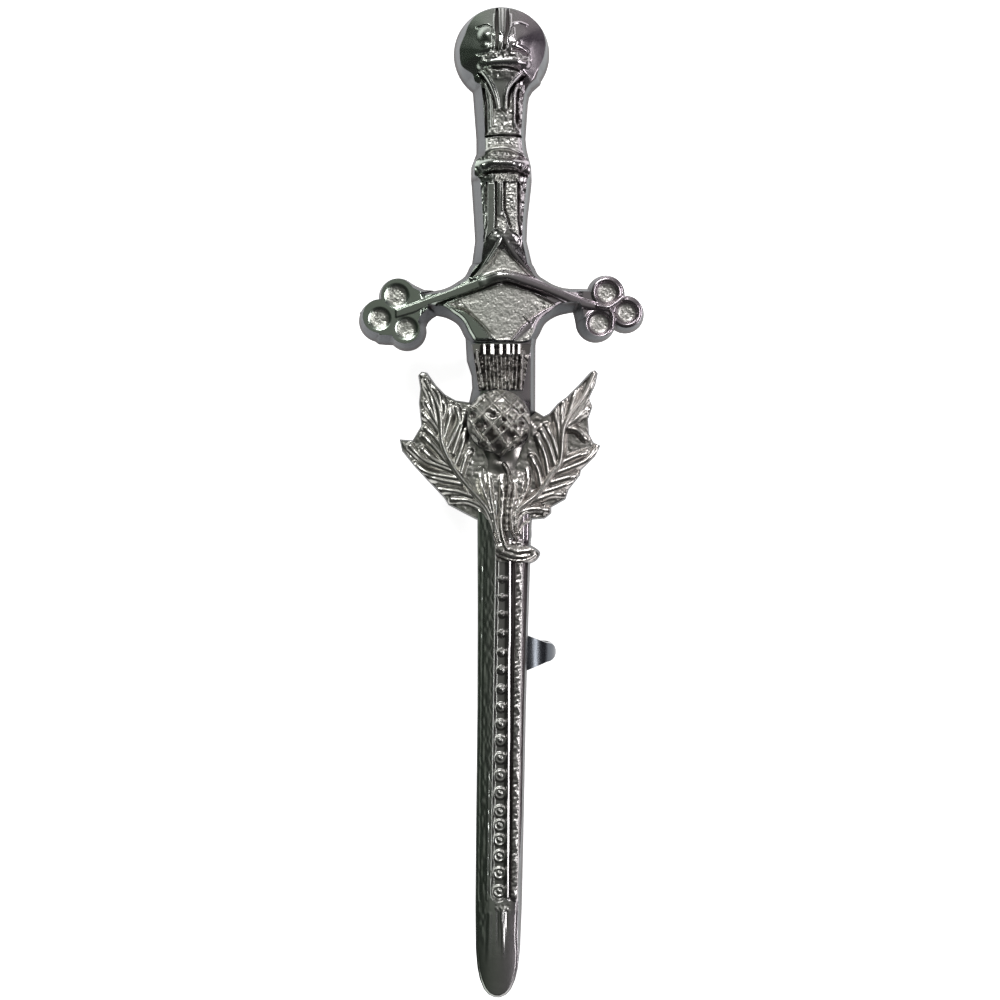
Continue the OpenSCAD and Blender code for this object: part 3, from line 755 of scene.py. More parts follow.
@dataclass
class Hilt(Relief):
    """Pommel, grip with its rings, and the neck that runs on behind guard and thistle."""

    pitch: float = 0.062
    pommel_r: float = 4.95
    # Edge where the pommel's ball rises from its wall
    ball_edge: Pairs = (
        (-2.1, 49.95), (-2.85, 49.4), (-3.4, 48.6), (-3.76, 47.65), (-4.2, 46.6), (-4.31, 45.91),
        (-4.09, 44.47), (-2.99, 43.62), (-2.2, 42.6), (2.5, 42.7), (3.53, 43.8), (4.21, 45.07), (4.51, 46.43),
        (4.42, 47.36), (3.9, 48.55), (2.69, 49.65), (1.37, 50.2), (-0.1, 50.38), (-1.08, 50.28),
    )
    # Heights of the pommel's wall and of its ball, and how far in from its edge the ball is level
    pommel_wall: float = 2.6
    pommel_top: float = 4.45
    ball_reach: float = 4.0
    # Foot of the left and right wall: (place along Y, distance from the axis)
    left_foot: Pairs = (
        (2.3, 2.9), (9.0, 3.35), (10.0, 3.4), (11.6, 3.05), (12.9, 3.12), (14.4, 3.6), (17.6, 3.8), (21, 3.7),
        (23.8, 3.15), (26.8, 2.75), (29.1, 2.88), (32.4, 3.1), (33.1, 3.17), (34.4, 3.15), (35.8, 2.62),
        (37.3, 2.62), (41.7, 2.95), (44.0, 3.3), (45.5, 3.3),
    )
    right_foot: Pairs = (
        (2.3, 2.9), (9.2, 3.48), (16.0, 3.5), (17.6, 3.75), (21, 3.8), (23.8, 3.3), (26.8, 2.6), (29.1, 2.7),
        (32.4, 3.08), (33.1, 3.12), (34.4, 3.07), (36.2, 2.6), (37.3, 2.48), (40.9, 2.72), (41.6, 2.85),
        (42.2, 3.2), (42.9, 4.0), (44.0, 4.3), (45.5, 4.3),
    )
    left_lean: float = 0.95
    right_lean: float = 0.5
    # Wall below the pommel, crown of the core and its half width: (place along Y, value)
    wall_rows: Pairs = (
        (0, 1.3), (8.5, 1.3), (10.5, 1.9), (14.5, 1.9), (16, 1.5), (24, 1.5), (26.5, 2.3), (41.6, 2.3),
    )
    crown_rows: Pairs = (
        (2, 1.4), (8.5, 1.4), (10.5, 2.0), (14.5, 2.0), (16, 1.6), (24, 1.6), (27, 2.75), (32, 3.0),
        (44, 3.0),
    )
    core_rows: Pairs = ((2, 2.4), (20, 2.6), (24, 2.3), (29, 2.2), (33, 2.3), (38, 2.0), (44, 2.0))
    # Collar and thick ring, and the ring's width and crest: (share of its length, height)
    collar: Pairs = ((-1.85, 35.2), (-1.08, 35.84), (0.04, 36.02), (1.16, 35.84), (2.15, 35.3))
    ring: Pairs = (
        (-2.5, 33.7), (-1.9, 34.1), (-0.98, 34.4), (0.04, 34.42), (1.06, 34.36), (1.98, 34.2), (2.55, 33.9),
    )
    ring_w: float = 1.6
    ring_crest: Pairs = ((0, 3.0), (0.15, 3.5), (0.4, 3.9), (0.7, 3.85), (0.9, 3.4), (1, 3.0))
    # Lines on the pommel: (path, width, height), grooves where the height is negative
    pommel_lines: Sequence[tuple[Pairs, float, float]] = (
        (((-0.49, 50.4), (-0.47, 47.8), (-0.5, 45.8)), 0.44, -0.45),
        (((0.62, 50.4), (0.6, 48.0), (0.4, 47.1), (0.24, 45.9)), 0.42, -0.42),
        (((-0.09, 50.3), (-0.09, 47.6)), 0.7, 0.2),
        (((-0.72, 49.6), (-0.76, 48.6), (-0.68, 47.2), (-0.74, 45.9)), 0.26, 0.14),
        (((0.92, 49.6), (0.9, 48.4), (0.66, 47.2), (0.5, 46.0)), 0.28, 0.16),
        (
            ((-2.45, 48.2), (-1.69, 48.42), (-1.08, 48.15), (-0.86, 47.4), (-0.84, 46.3), (-1.0, 45.8)),
            0.36, -0.14,
        ),
        (((-2.5, 45.42), (-1.4, 45.42)), 0.32, -0.2),
        (((0.95, 48.3), (1.2, 48.62), (1.87, 48.74), (2.6, 48.5)), 0.3, 0.14),
        (((1.2, 45.85), (1.9, 45.72), (2.7, 45.36)), 0.34, -0.34),
        (((1.25, 48.1), (1.3, 47.4)), 0.3, 0.12),
        (((1.3, 46.2), (2.0, 46.05), (2.6, 45.75)), 0.6, 0.12),
    )
    # Bosses on the pommel: (place, radius, height)
    bosses: Sequence[tuple[tuple[float, float], float, float]] = (
        ((-1.66, 47.4), 1.0, 0.32), ((-1.75, 46.4), 0.5, 0.1), ((1.85, 46.9), 1.4, 0.14),
        ((1.55, 46.55), 0.45, 0.08),
    )
    # Granulated band with its half width, and the lip below it
    pommel_band: Pairs = ((-1.7, 45.05), (-1.2, 45.28), (0.14, 45.45), (1.36, 45.28), (2.6, 45.06))
    band_half: float = 0.42
    pommel_lip: Pairs = ((-2.1, 44.4), (-1.4, 44.5), (0.1, 44.6), (1.6, 44.62), (2.5, 44.5))
    # Tongue below the pommel, and its rims: (path, width, crest at the top, in the middle and at the point)
    tongue: Pairs = (
        (-1.45, 43.95), (1.8, 43.75), (0.9, 42.5), (0.36, 41.5), (0.2, 39.95), (-0.18, 39.95), (-0.5, 41.4),
        (-1.1, 42.7),
    )
    tongue_rims: Sequence[tuple[Pairs, float, tuple[float, float, float]]] = (
        (((1.85, 43.55), (0.98, 42.6), (0.46, 41.6), (0.36, 40.05)), 0.62, (3.95, 3.8, 3.45)),
        (((-1.85, 43.7), (-1.2, 42.8), (-0.62, 41.4), (-0.34, 40.05)), 0.6, (3.85, 3.7, 3.4)),
    )
    # Grooves round the tongue: (path, width)
    tongue_grooves: Sequence[tuple[Pairs, float]] = (
        (((-2.35, 43.6), (-1.62, 42.77), (-0.95, 41.4), (-0.6, 40.1)), 0.34),
        (((2.35, 43.3), (1.4, 42.5), (0.82, 41.5), (0.72, 40.2)), 0.3),
        (((-0.9, 44.1), (0.4, 44.16), (1.2, 43.98), (1.95, 43.66)), 0.34),
    )

    def name(self) -> str:
        """Plain name of the piece."""
        return "hilt"

    def box(self) -> tuple[float, float, float, float]:
        """Plan of the hilt."""
        return -self.pommel_r, self.left_foot[0][0], self.pommel_r, TOP_Y

    def grip(self, points: np.ndarray) -> np.ndarray:
        """Distance inside the grip's outline."""
        left = [(-x, y) for y, x in self.left_foot]
        right = [(x, y) for y, x in self.right_foot]
        return distance_inside(points, np.array(left + right[::-1]))

    def on_ball(self, points: np.ndarray) -> np.ndarray:
        """Distance inside the ball's edge."""
        return distance_inside(points, curve_through(self.ball_edge, closed=True))

    def inside(self, points: np.ndarray) -> np.ndarray:
        """Pommel disc joined to the grip."""
        disc = self.pommel_r - np.hypot(points[:, 0], points[:, 1] - (TOP_Y - self.pommel_r))
        return np.maximum(disc, self.grip(points))

    def top(self, points: np.ndarray) -> np.ndarray:
        """The left wall of the grip leans more than the right one, and both are steep beside the ring."""
        lean = self.left_lean + (self.right_lean - self.left_lean) * ease(points[:, 0] / 1.6 + 0.5)
        beside_ring = ease((1.25 - np.abs(points[:, 1] - 34.1)) / 0.5)
        return np.maximum(self.grip(points) - lean * (1 - 0.6 * beside_ring), self.on_ball(points))

    def rise(self, points: np.ndarray) -> np.ndarray:
        """The wall is low under the thistle and the guard and stands highest round the pommel."""
        return table(points[:, 1], (*self.wall_rows, (43, self.pommel_wall)))

    def shape_face(self, wax: Wax, depth: np.ndarray) -> None:
        """Shape the grip first and then the pommel over it."""
        self.shape_neck(wax, depth)
        self.shape_lower_grip(wax)
        self.shape_rings(wax)
        self.shape_ball(wax)
        self.shape_bosses(wax)
        self.shape_upper_grip(wax)
        self.shape_tongue(wax)

    def shape_neck(self, wax: Wax, depth: np.ndarray) -> None:
        """Rounded core of the whole hilt."""
        across = np.clip((wax.x - 0.15) / table(wax.y, self.core_rows), -1, 1)
        wax.z += (table(wax.y, self.crown_rows) - wax.z) * (1 - across**2) * ease(depth / 0.4)
        skin = ease((wax.y - 22) / 2) * ease((42 - wax.y) / 1) * ease(depth / 0.25)
        wax.roughen(skin * 0.7, 0.4, 0.18, 11, frost_and_highlight=0.1)

    def shape_lower_grip(self, wax: Wax) -> None:
        """Smooth strip, pointed rib and pitted panel between the ring and the guard."""
        high = 32.5
        strip = wax.shape([(-1.75, 26.6), (-0.56, 27.8), (-0.56, high), (-1.45, high)], 0.2)
        wax.z += strip * (3.05 - wax.z) * 0.9
        wax.frost_and_highlight *= 1 - strip
        panel = wax.shape([(0.35, 29.6), (0.9, 27.6), (1.75, 27.0), (1.62, high), (0.35, high)], 0.16)
        corner = wax.shape([(-0.55, 29.3), (-0.1, 29.35), (0.6, 28.2), (0.2, 27.3), (-0.55, 27.7)], 0.16)
        panel = np.maximum(panel, corner)
        wax.z += panel * (2.8 - wax.z)
        wax.roughen(panel, 0.22, 0.14, 12, frost_and_highlight=0.55)
        wax.roll([(-0.24, high), (-0.22, 30.2), (-0.2, 29.35)], 0.66, 2.7, ((0, 3.2), (1, 3.0)), 0.5)
        wax.line([(0.08, high), (0.08, 29.6)], 0.24, 0.16)
        for groove in (
            [(-0.56, high), (-0.55, 29.4), (-0.62, 27.9)], [(-1.52, high), (-1.52, 28.2), (-1.8, 26.6)],
            [(0.31, high), (0.3, 29.8), (0.95, 27.9)], [(1.7, high), (1.7, 28.6), (1.95, 27.2)],
        ):
            wax.line(groove, 0.3, -0.5)
        rough = wax.shape([(1.85, high), (2.6, high), (2.6, 29.0), (2.0, 28.2)], 0.2)
        wax.z += rough * 0.2
        wax.roughen(rough, 0.5, 0.6, 13, frost_and_highlight=0.1)
        blotches = wax.shape([(-2.5, 32.4), (-2.0, 32.4), (-1.9, 27.5), (-2.3, 28.5)], 0.2)
        wax.roughen(blotches, 0.45, 0.5, 19, frost_and_highlight=0.1)

    def shape_rings(self, wax: Wax) -> None:
        """Neck, collar and thick ring, each bowed up in the middle."""
        stipple = ease((wax.y - 34.8) / 0.15) * ease((37.15 - wax.y) / 0.15)
        stipple *= ease((1.75 - np.abs(wax.x - 0.1)) / 0.3)
        wax.z += stipple * (2.8 - wax.z)
        wax.roughen(stipple, 0.26, 0.2, 14, frost_and_highlight=0.5)
        wax.roll(curve_through(self.collar), 0.85, 2.3, ((0, 2.8), (0.3, 3.2), (0.6, 3.3), (1, 2.9)), 1.2)
        ring = curve_through(self.ring)
        wax.roll(ring, self.ring_w, 2.3, self.ring_crest, 1.3)
        i, gap, _, _ = wax.near(ring, self.ring_w / 2)
        wax.frost_and_highlight[i] *= ease(gap / (self.ring_w / 2) - 0.5)
        wax.line([(-2.2, 33.3), (-1.3, 33.5), (0.2, 33.58), (1.6, 33.5), (2.5, 33.25)], 0.36, -0.4)
        hatched = ease((wax.y - 32.5) / 0.12) * ease((33.45 - wax.y) / 0.12) * wax.shape(
            [(-0.75, 32.4), (1.75, 32.4), (1.75, 33.5), (-0.75, 33.5)], 0.15)
        wax.z += hatched * (3.05 - wax.z + 0.1 * np.cos((wax.x - wax.y * 0.4) * 2 * math.pi / 0.3))
        wax.roughen(hatched, 0.26, 0.18, 15, frost_and_highlight=0.5)

    def shape_upper_grip(self, wax: Wax) -> None:
        """Pitted panel between two rails that flare into a foot above the neck."""
        outline = [(-0.9, 41), (-0.95, 38.1), (-1.6, 37.4), (1.7, 37.4), (1.15, 38.1), (1.1, 41)]
        panel = wax.shape(outline, 0.2)
        wax.z += panel * (2.9 - wax.z)
        wax.roughen(panel, 0.34, 0.16, 16, frost_and_highlight=0.4)
        wax.roll([(-1.6, 42.7), (-1.08, 41.5), (-0.98, 40.4), (-0.98, 38.3)], 0.36, 2.6, ((0, 3.3), (1, 3.1)))
        wax.roll([(1.6, 42.6), (1.28, 41.5), (1.27, 38.5), (1.75, 37.6)], 0.44, 2.6, ((0, 3.3), (1, 3.2)))
        wax.bead((1.74, 37.9), 0.32, 0.3)
        wax.line([(-1.9, 37.28), (0, 37.32), (1.95, 37.28)], 0.32, -0.75)
        wax.line([(-1.85, 42.1), (-1.58, 40.5), (-1.55, 37.5)], 0.36, -0.7)
        wax.line([(1.75, 42.0), (1.58, 40.5), (1.6, 38.6)], 0.26, -0.5)
        rough = wax.shape([(1.6, 42.4), (2.2, 42.4), (2.2, 37.7), (1.75, 38.4)], 0.2)
        wax.roughen(rough, 0.5, 0.7, 17, frost_and_highlight=0.1)
        for place in ((1.93, 41.1), (1.9, 39.4), (2.05, 38.4), (1.9, 39.15)):
            wax.bead(place, 0.3, 0.35)

    def shape_ball(self, wax: Wax) -> None:
        """Polished ball with steep flanks, so that they mirror the dark sides of the room."""
        depth = self.on_ball(wax.points)
        flank = 1 - np.clip(depth / self.ball_reach, 0, 1)
        ball = self.pommel_wall + (self.pommel_top - self.pommel_wall) * (1 - flank**1.45)
        on_ball = (depth > 0) & ~((wax.y < 43.6) & (np.abs(wax.x) < 2.2) & (ball < 3.1))
        wax.z = np.where(on_ball, ball, wax.z)
        wax.frost_and_highlight[on_ball] = 0

    def shape_bosses(self, wax: Wax) -> None:
        """Rib between two grooves, a boss on each side, a granulated band and a lip."""
        for path, width, height in self.pommel_lines:
            wax.line(curve_through(path), width, height)
        for place, reach, height in self.bosses:
            wax.bead(place, reach, height)
        i, gap, _, _ = wax.near(curve_through(self.pommel_band), self.band_half)
        on_band = np.zeros(len(wax.z))
        on_band[i] = ease((self.band_half - gap) / 0.15)
        wax.roughen(on_band, 0.34, 0.4, 18, frost_and_highlight=0.3)
        wax.line(curve_through(self.pommel_lip), 1.1, 0.24)

    def shape_tongue(self, wax: Wax) -> None:
        """Pointed shield that hangs from the pommel onto the grip, sunk between its rims."""
        shield = wax.shape(self.tongue, 0.16)
        level = table(wax.y, ((39.9, 3.3), (42.5, 3.5), (44.2, 3.9)))
        wax.z += shield * (level - wax.z)
        wax.frost_and_highlight *= 1 - shield
        wax.roughen(shield * ease((wax.y - 42.6) / 0.8), 0.3, 0.12, 9, frost_and_highlight=0.3)
        for path, width, (high, middle, low) in self.tongue_rims:
            wax.roll(curve_through(path), width, 2.9, ((0, high), (0.5, middle), (1, low)), 0.7)
        for path, width in self.tongue_grooves:
            wax.line(curve_through(path), width, -0.45)


@dataclass(frozen=True)
class Lobe:
    """One lobe of a trefoil: its foot, the rim on top and the cup in it."""

    foot: tuple[float, float]
    foot_r: float
    rim: tuple[float, float]
    rim_r: float
    cup: tuple[float, float]
    cup_r: float

    def inside(self, points: np.ndarray) -> np.ndarray:
        """Distance inside the foot."""
        return self.foot_r - np.hypot(*(points - self.foot).T)

    def top(self, points: np.ndarray) -> np.ndarray:
        """Distance inside the top edge of the wall."""
        return self.rim_r - np.hypot(*(points - self.rim).T)


@dataclass
class Guard(Relief):
    """Cross-guard: a flared block and two arms that end in trefoils with cupped lobes."""

    pitch: float = 0.064
    middle: float = 20.79
    # The guard is tilted a little, its right end up
    tilt: float = 0.01745
    face_h: float = 2.3
    lobe_h: float = 2.6
    # Right half of the foot outwards: (distance from the axis, upper and lower edge from the guard's middle)
    arm: Sequence[tuple[float, float, float]] = (
        (0.3, 4.1, -5.0), (2.8, 3.9, -5.0), (3.75, 2.5, -3.98), (4.47, 1.95, -2.66), (5.5, 1.36, -1.95),
        (6.7, 1.02, -1.62), (8.26, 0.95, -1.5), (9.74, 0.88, -2.07),
    )
    lobes: Sequence[Lobe] = (
        Lobe((-10.68, 20.95), 2.02, (-10.62, 20.98), 1.72, (-10.75, 20.95), 1.22),
        Lobe((-12.55, 18.55), 2.2, (-12.5, 18.88), 1.72, (-12.5, 18.62), 1.12),
        Lobe((-9.77, 17.45), 2.03, (-9.87, 17.58), 1.52, (-9.74, 17.62), 1.12),
        Lobe((10.75, 21.28), 1.98, (10.85, 21.28), 1.66, (10.75, 21.3), 1.14),
        Lobe((12.75, 19.2), 1.96, (12.77, 19.3), 1.64, (12.78, 19.25), 1.12),
        Lobe((9.7, 18.35), 2.07, (10.1, 18.25), 1.5, (9.98, 18.12), 1.16),
    )
    # Metal that fills the corners between lobes and arms, and the middles of the trefoils
    webs: Sequence[Pairs] = (
        (
            (-10.6, 22.9), (-9.8, 22.72), (-8.9, 22.2), (-8.0, 21.78), (-7.0, 21.7), (-8.5, 20.5),
            (-10.5, 20.5),
        ),
        (
            (-6.6, 19.12), (-7.19, 18.76), (-7.6, 18.34), (-7.81, 17.83), (-7.9, 17.3), (-9.8, 16.9),
            (-11.0, 19.5), (-9.5, 21.6), (-6.6, 21.6),
        ),
        (
            (-13.2, 16.5), (-12.7, 16.12), (-11.9, 16.05), (-10.9, 16.0), (-10.0, 17.2), (-11.2, 19.4),
            (-13.6, 18.6),
        ),
        ((-14.72, 19.4), (-12.2, 20.85), (-10.6, 20.8), (-11.2, 18.2), (-13.6, 17.4)),
        ((-13.2, 19.2), (-11.4, 21.4), (-8.8, 21.0), (-8.6, 18.4), (-10.6, 16.8), (-12.4, 17.4)),
        (
            (6.6, 19.72), (7.3, 19.6), (7.5, 18.9), (7.62, 18.3), (9.4, 17.4), (11.0, 19.2), (9.4, 21.8),
            (6.6, 21.8),
        ),
        ((8.4, 19.8), (10.2, 21.8), (12.8, 20.8), (13.1, 18.4), (10.6, 17.0), (8.8, 18.4)),
        ((-3.2, 23.9), (0.0, 28.2), (3.5, 23.9), (0.0, 19.5)),
    )
    bar: Pairs = (
        (-10.6, 19.05), (-8.18, 20.0), (-5.79, 20.98), (-2.31, 22.11), (0.14, 22.97), (2.6, 22.4),
        (4.95, 21.55), (7.5, 20.45), (8.87, 20.0), (10.78, 19.7),
    )
    # The ridge's crest and width: (share of its length, value). Up to 0.32 its crest lies below the flat band
    bar_crest: Pairs = ((0, 2.2), (0.32, 2.2), (0.42, 2.75), (0.5, 3.15), (0.7, 2.95), (1, 2.75))
    bar_width: Pairs = (
        (0, 0.95), (0.12, 1.0), (0.27, 1.35), (0.38, 1.1), (0.5, 0.95), (0.6, 1.1), (0.85, 1.0), (1, 0.8),
    )
    # Legs that run down from the grip, and the groove outside the left one
    legs: Sequence[Pairs] = (
        ((-0.05, 27.4), (-0.78, 25.7), (-1.8, 24.2), (-2.95, 22.9)),
        ((0.1, 27.4), (1.0, 25.75), (2.15, 24.4), (3.4, 23.1)),
    )
    leg_groove: Pairs = ((-0.45, 27.3), (-0.85, 26.2), (-1.55, 25.0), (-2.4, 23.75), (-3.1, 22.95))
    # Bright lines on the ridge and the legs: (path, width, height)
    leg_lines: Sequence[tuple[Pairs, float, float]] = (
        (((-2.55, 22.68), (0.1, 23.5)), 0.4, 0.12), (((-0.2, 26.2), (-1.45, 24.3)), 0.26, 0.16),
        (((0.75, 26.6), (1.9, 24.95), (3.3, 23.3)), 0.26, 0.12),
    )
    # Ridges between the right lobes: (path, width, crest)
    star: Sequence[tuple[Pairs, float, float]] = (
        (((9.8, 19.9), (10.9, 19.75), (11.7, 20.2), (12.4, 20.8)), 0.75, 2.95),
        (((10.9, 19.8), (11.35, 18.9), (11.3, 17.8)), 0.7, 2.9),
    )
    # Flat band that the ridge widens into on the left arm
    left_bar: Pairs = (
        (-10.82, 19.48), (-5.79, 21.36), (-2.72, 22.55), (0.1, 23.4), (0.35, 22.47), (-2.72, 21.63),
        (-4.77, 20.68), (-6.81, 20.25), (-9.03, 19.23), (-10.82, 18.72),
    )
    diamond: Pairs = (
        (-5.59, 20.13), (-2.73, 21.26), (0.14, 22.16), (2.91, 21.46), (5.47, 20.05), (4.19, 19.49),
        (3.3, 18.94), (1.97, 17.82), (0.96, 16.54), (-0.57, 16.44), (-1.7, 17.71), (-2.81, 18.72),
        (-3.91, 19.49),
    )

    def name(self) -> str:
        """Plain name of the piece."""
        return "guard"

    def finish(self) -> GunmetalCasting:
        """The guard's plating, with its walls darkened by painted shade."""
        return GUARD_SHADED_WALLS

    def box(self) -> tuple[float, float, float, float]:
        """Plan of the guard."""
        return -14.85, 15.2, 14.85, 28.2

    def block(self) -> np.ndarray:
        """Foot of the block and the arms."""
        upper = curve_through([(x, high) for x, high, _ in self.arm])
        lower = curve_through([(x, low) for x, _, low in self.arm])
        mirror = (-1, 1)
        points = np.vstack([upper[::-1] * mirror, upper, lower[::-1], lower * mirror])
        points[:, 1] += self.middle + points[:, 0] * self.tilt
        return points

    def inside(self, points: np.ndarray) -> np.ndarray:
        """Block joined to webs and lobes."""
        best = distance_inside(points, self.block())
        for web in self.webs:
            best = np.maximum(best, distance_inside(points, np.array(web)))
        for lobe in self.lobes:
            best = np.maximum(best, lobe.inside(points))
        return best

    def top(self, points: np.ndarray) -> np.ndarray:
        """The lower walls of the arms lean most, and each lobe has a rim of its own."""
        across = np.abs(points[:, 0])
        upper = table(across, ((0, 0.62), (5, 0.5), (15, 0.36)))
        lower = table(across, ((0, 0.5), (4.6, 0.6), (6.2, 1.0), (8.4, 0.9), (10, 0.5), (15, 0.4)))
        lean = upper + (lower - upper) * ease((self.middle - points[:, 1]) / 0.8 + 0.25)
        lean += 0.4 * ease((17.4 - points[:, 1]) / 0.5) * (points[:, 0] < -9)
        best = distance_inside(points, self.block()) - lean
        for web in self.webs:
            best = np.maximum(best, distance_inside(points, np.array(web)) - lean)
        for lobe in self.lobes:
            best = np.maximum(best, lobe.top(points))
        return best

    def rise(self, points: np.ndarray) -> np.ndarray:
        """The walls stand higher round the lobes."""
        return self.wall_h + (self.lobe_h - 0.1 - self.wall_h) * ease((np.abs(points[:, 0]) - 7.6) / 0.8)

    def shape_face(self, wax: Wax, depth: np.ndarray) -> None:
        """Shape the fields, the diamond, the ridges and the cups."""
        field = 1 - ease((np.abs(wax.x) - 7.6) / 0.8)
        wax.z += field * (self.face_h - self.wall_h) * ease(depth / 0.4)
        self.shape_fields(wax)
        for lobe in self.lobes:
            self.shape_cup(wax, lobe)
        self.shape_ridges(wax)

    def shape_fields(self, wax: Wax) -> None:
        """Sunk frosted grounds between the ridges."""
        diamond = wax.shape(self.diamond, 0.24)
        wax.z += diamond * (1.95 - wax.z)
        ends = diamond * ease((np.abs(wax.x) - 2.4) / 2)
        wax.roughen(diamond, 0.2, 0.06, 21, frost_and_highlight=0.75)
        wax.roughen(ends, 0.3, 0.18, 22, frost_and_highlight=0.7)
        for k, triangle in enumerate((
            [(-0.05, 25.7), (-2.75, 23.0), (0.19, 23.7), (3.3, 23.0)],
            [(1.3, 16.2), (3.2, 16.2), (3.3, 17.9)],
        )):
            ground = wax.shape(triangle, 0.2)
            wax.z += ground * (2.25 - wax.z)
            wax.roughen(ground, 0.2, 0.06 + 0.1 * k, 23 + 2 * k, frost_and_highlight=0.75)
        wax.roll([(2.1, 17.75), (1.0, 16.35)], 0.36, 1.9, 2.5, 0.6)
        wax.roll([(2.9, 18.0), (1.55, 16.3)], 0.9, 1.9, 2.35, 0.3)
        dip = curve_through([(-4.6, 19.75), (-3.6, 19.45), (-2.6, 18.55), (-1.5, 17.4), (-0.7, 16.3)])
        wax.line(dip, 0.5, -0.3)
        wax.line([(2.3, 18.9), (2.9, 18.3)], 0.3, 0.2)

    def shape_ridges(self, wax: Wax) -> None:
        """Ridge along the guard and the two legs that run down to it from the grip."""
        path = curve_through(self.bar)
        flat = wax.shape(self.left_bar, 0.16)
        wax.z += flat * (2.62 - wax.z)
        wax.frost_and_highlight *= 1 - flat
        # An even painted shade over the flat band, in place of its hollow shade
        wax.painted_shade = np.maximum(wax.painted_shade * (1 - flat), 0.3 * flat)
        for leg in self.legs:
            wax.roll(curve_through(leg), 0.95, 2.0, ((0, 3.15), (1, 2.6)), 0.25)
        wax.roll(path, self.bar_width, 2.3, self.bar_crest, 0.4)
        shifted = path + (-0.2, -0.66)
        wax.line(shifted[8:-14], 0.4, -0.5, fade=0.2)
        for line, width, height in self.leg_lines:
            wax.line(line, width, height)
        wax.line(curve_through(self.leg_groove), 0.42, -0.7)
        for ridge, width, crest in self.star:
            wax.roll(curve_through(ridge), width, 2.2, crest, 1.2)

    def shape_cup(self, wax: Wax, lobe: Lobe) -> None:
        """Sink a smooth cup with a frosted floor into a lobe, under a rounder rim on the right."""
        gap = np.hypot(wax.x - lobe.cup[0], wax.y - lobe.cup[1]) / lobe.cup_r
        bowl = 1 - ease((gap - 0.5) / 0.65)
        wax.z = np.where(gap < 1.15, self.lobe_h - 0.1 - 0.28 * bowl, wax.z)
        if lobe.cup[0] > 0:
            wax.z += 0.14 * bell((gap - 1.15) / 0.3)
        wax.roughen(1 - ease((gap - 0.7) / 0.25), 0.2, 0.08, 27, frost_and_highlight=0.7)


@dataclass
class Spray(Relief):
    """Part of the thistle spray."""

    def finish(self) -> GunmetalCasting:
        """The spray's own plating."""
        return SPRAY_PLATING


@dataclass
class Tuft(Spray):
    """Thistle tuft: a block that narrows to the globe, under upright fins with bright slanting heads."""

    pitch: float = 0.055
    wall_h: float = 2.3
    draft: float = 0.2
    foot: Pairs = ((-3.25, 16.2), (-2.5, 11.1), (2.35, 11.1), (3.25, 16.2))
    # Plain corner at the upper left
    plain_corner: Pairs = ((-3.4, 16.4), (-3.1, 14.9), (-2.1, 15.0), (-2.0, 16.4))
    # Heads of the fins: (place across, width)
    heads: Pairs = ((-1.76, 0.4), (-0.95, 0.54), (-0.06, 0.52), (0.69, 0.52), (1.22, 0.34), (1.8, 0.44))
    # Fins: (place across at the top, at the foot)
    fins: Pairs = (
        (-2.5, -1.85), (-1.72, -1.45), (-1.3, -1.05), (-0.88, -0.7), (-0.5, -0.3), (-0.05, 0.05), (0.35, 0.4),
        (0.78, 0.75), (1.2, 1.05), (1.62, 1.45), (2.15, 1.85),
    )

    def name(self) -> str:
        """Plain name of the piece."""
        return "thistle_tuft"

    def box(self) -> tuple[float, float, float, float]:
        """Plan of the tuft."""
        return -3.25, 11.1, 3.25, 16.2

    def inside(self, points: np.ndarray) -> np.ndarray:
        """Four-sided block."""
        return distance_inside(points, np.array(self.foot))

    def shape_face(self, wax: Wax, depth: np.ndarray) -> None:
        """Lay the fins over a ground darkened with painted shade, and slant their heads up to the light."""
        # Painted shade over the whole ground, lifted off the plain corner, the fins and their heads
        wax.paint_shade(np.full(len(wax.z), 0.85))
        corner = wax.shape(self.plain_corner, 0.3)
        wax.z += corner * 0.35
        wax.painted_shade *= 1 - 0.7 * corner
        for k, (top, foot) in enumerate(self.fins):
            path = [(top, 15.3), ((top + foot) / 2, 13.2), (foot, 11.3 + 0.3 * math.cos(2.3 * k))]
            i, gap, share, _ = wax.near(path, 0.2)
            on_fin = ease((0.2 - gap) / 0.14)
            wax.roll(path, 0.42, 2.3, ((0, 2.85), (0.6, 2.95), (1, 3.05)), 1.2)
            wax.painted_shade[i] *= 1 - (0.35 + 0.5 * ease((share - 0.55) / 0.3)) * on_fin
            wax.frost_and_highlight[i] = np.maximum(wax.frost_and_highlight[i], 0.55 * on_fin * ease((share - 0.6) / 0.3))
        wax.roughen(ease((15 - wax.y) / 0.5), 0.34, 0.3, 46, frost_and_highlight=0.1)
        wax.roughen(ease((12.7 - wax.y) / 0.6), 0.42, 0.5, 47, frost_and_highlight=0.5)
        for (x, _), (following, _) in zip(self.heads, self.heads[1:]):
            between = [((x + following) / 2, 16.0), ((x + following) / 2, 14.9)]
            wax.line(between, 0.34, -0.6)
            i, _, _, _ = wax.near(between, 0.15)
            # Painted shade, nearly black, in the gaps between the heads
            wax.painted_shade[i] = 0.95
        for x, width in self.heads:
            head = [(x, 15.95), (x * 0.98, 14.5)]
            wax.facet(head, width, 3.1, -0.38, fade=0.35)
            i, _, share, _ = wax.near(head, width / 2)
            wax.painted_shade[i] *= ease((share - 0.6) / 0.4)


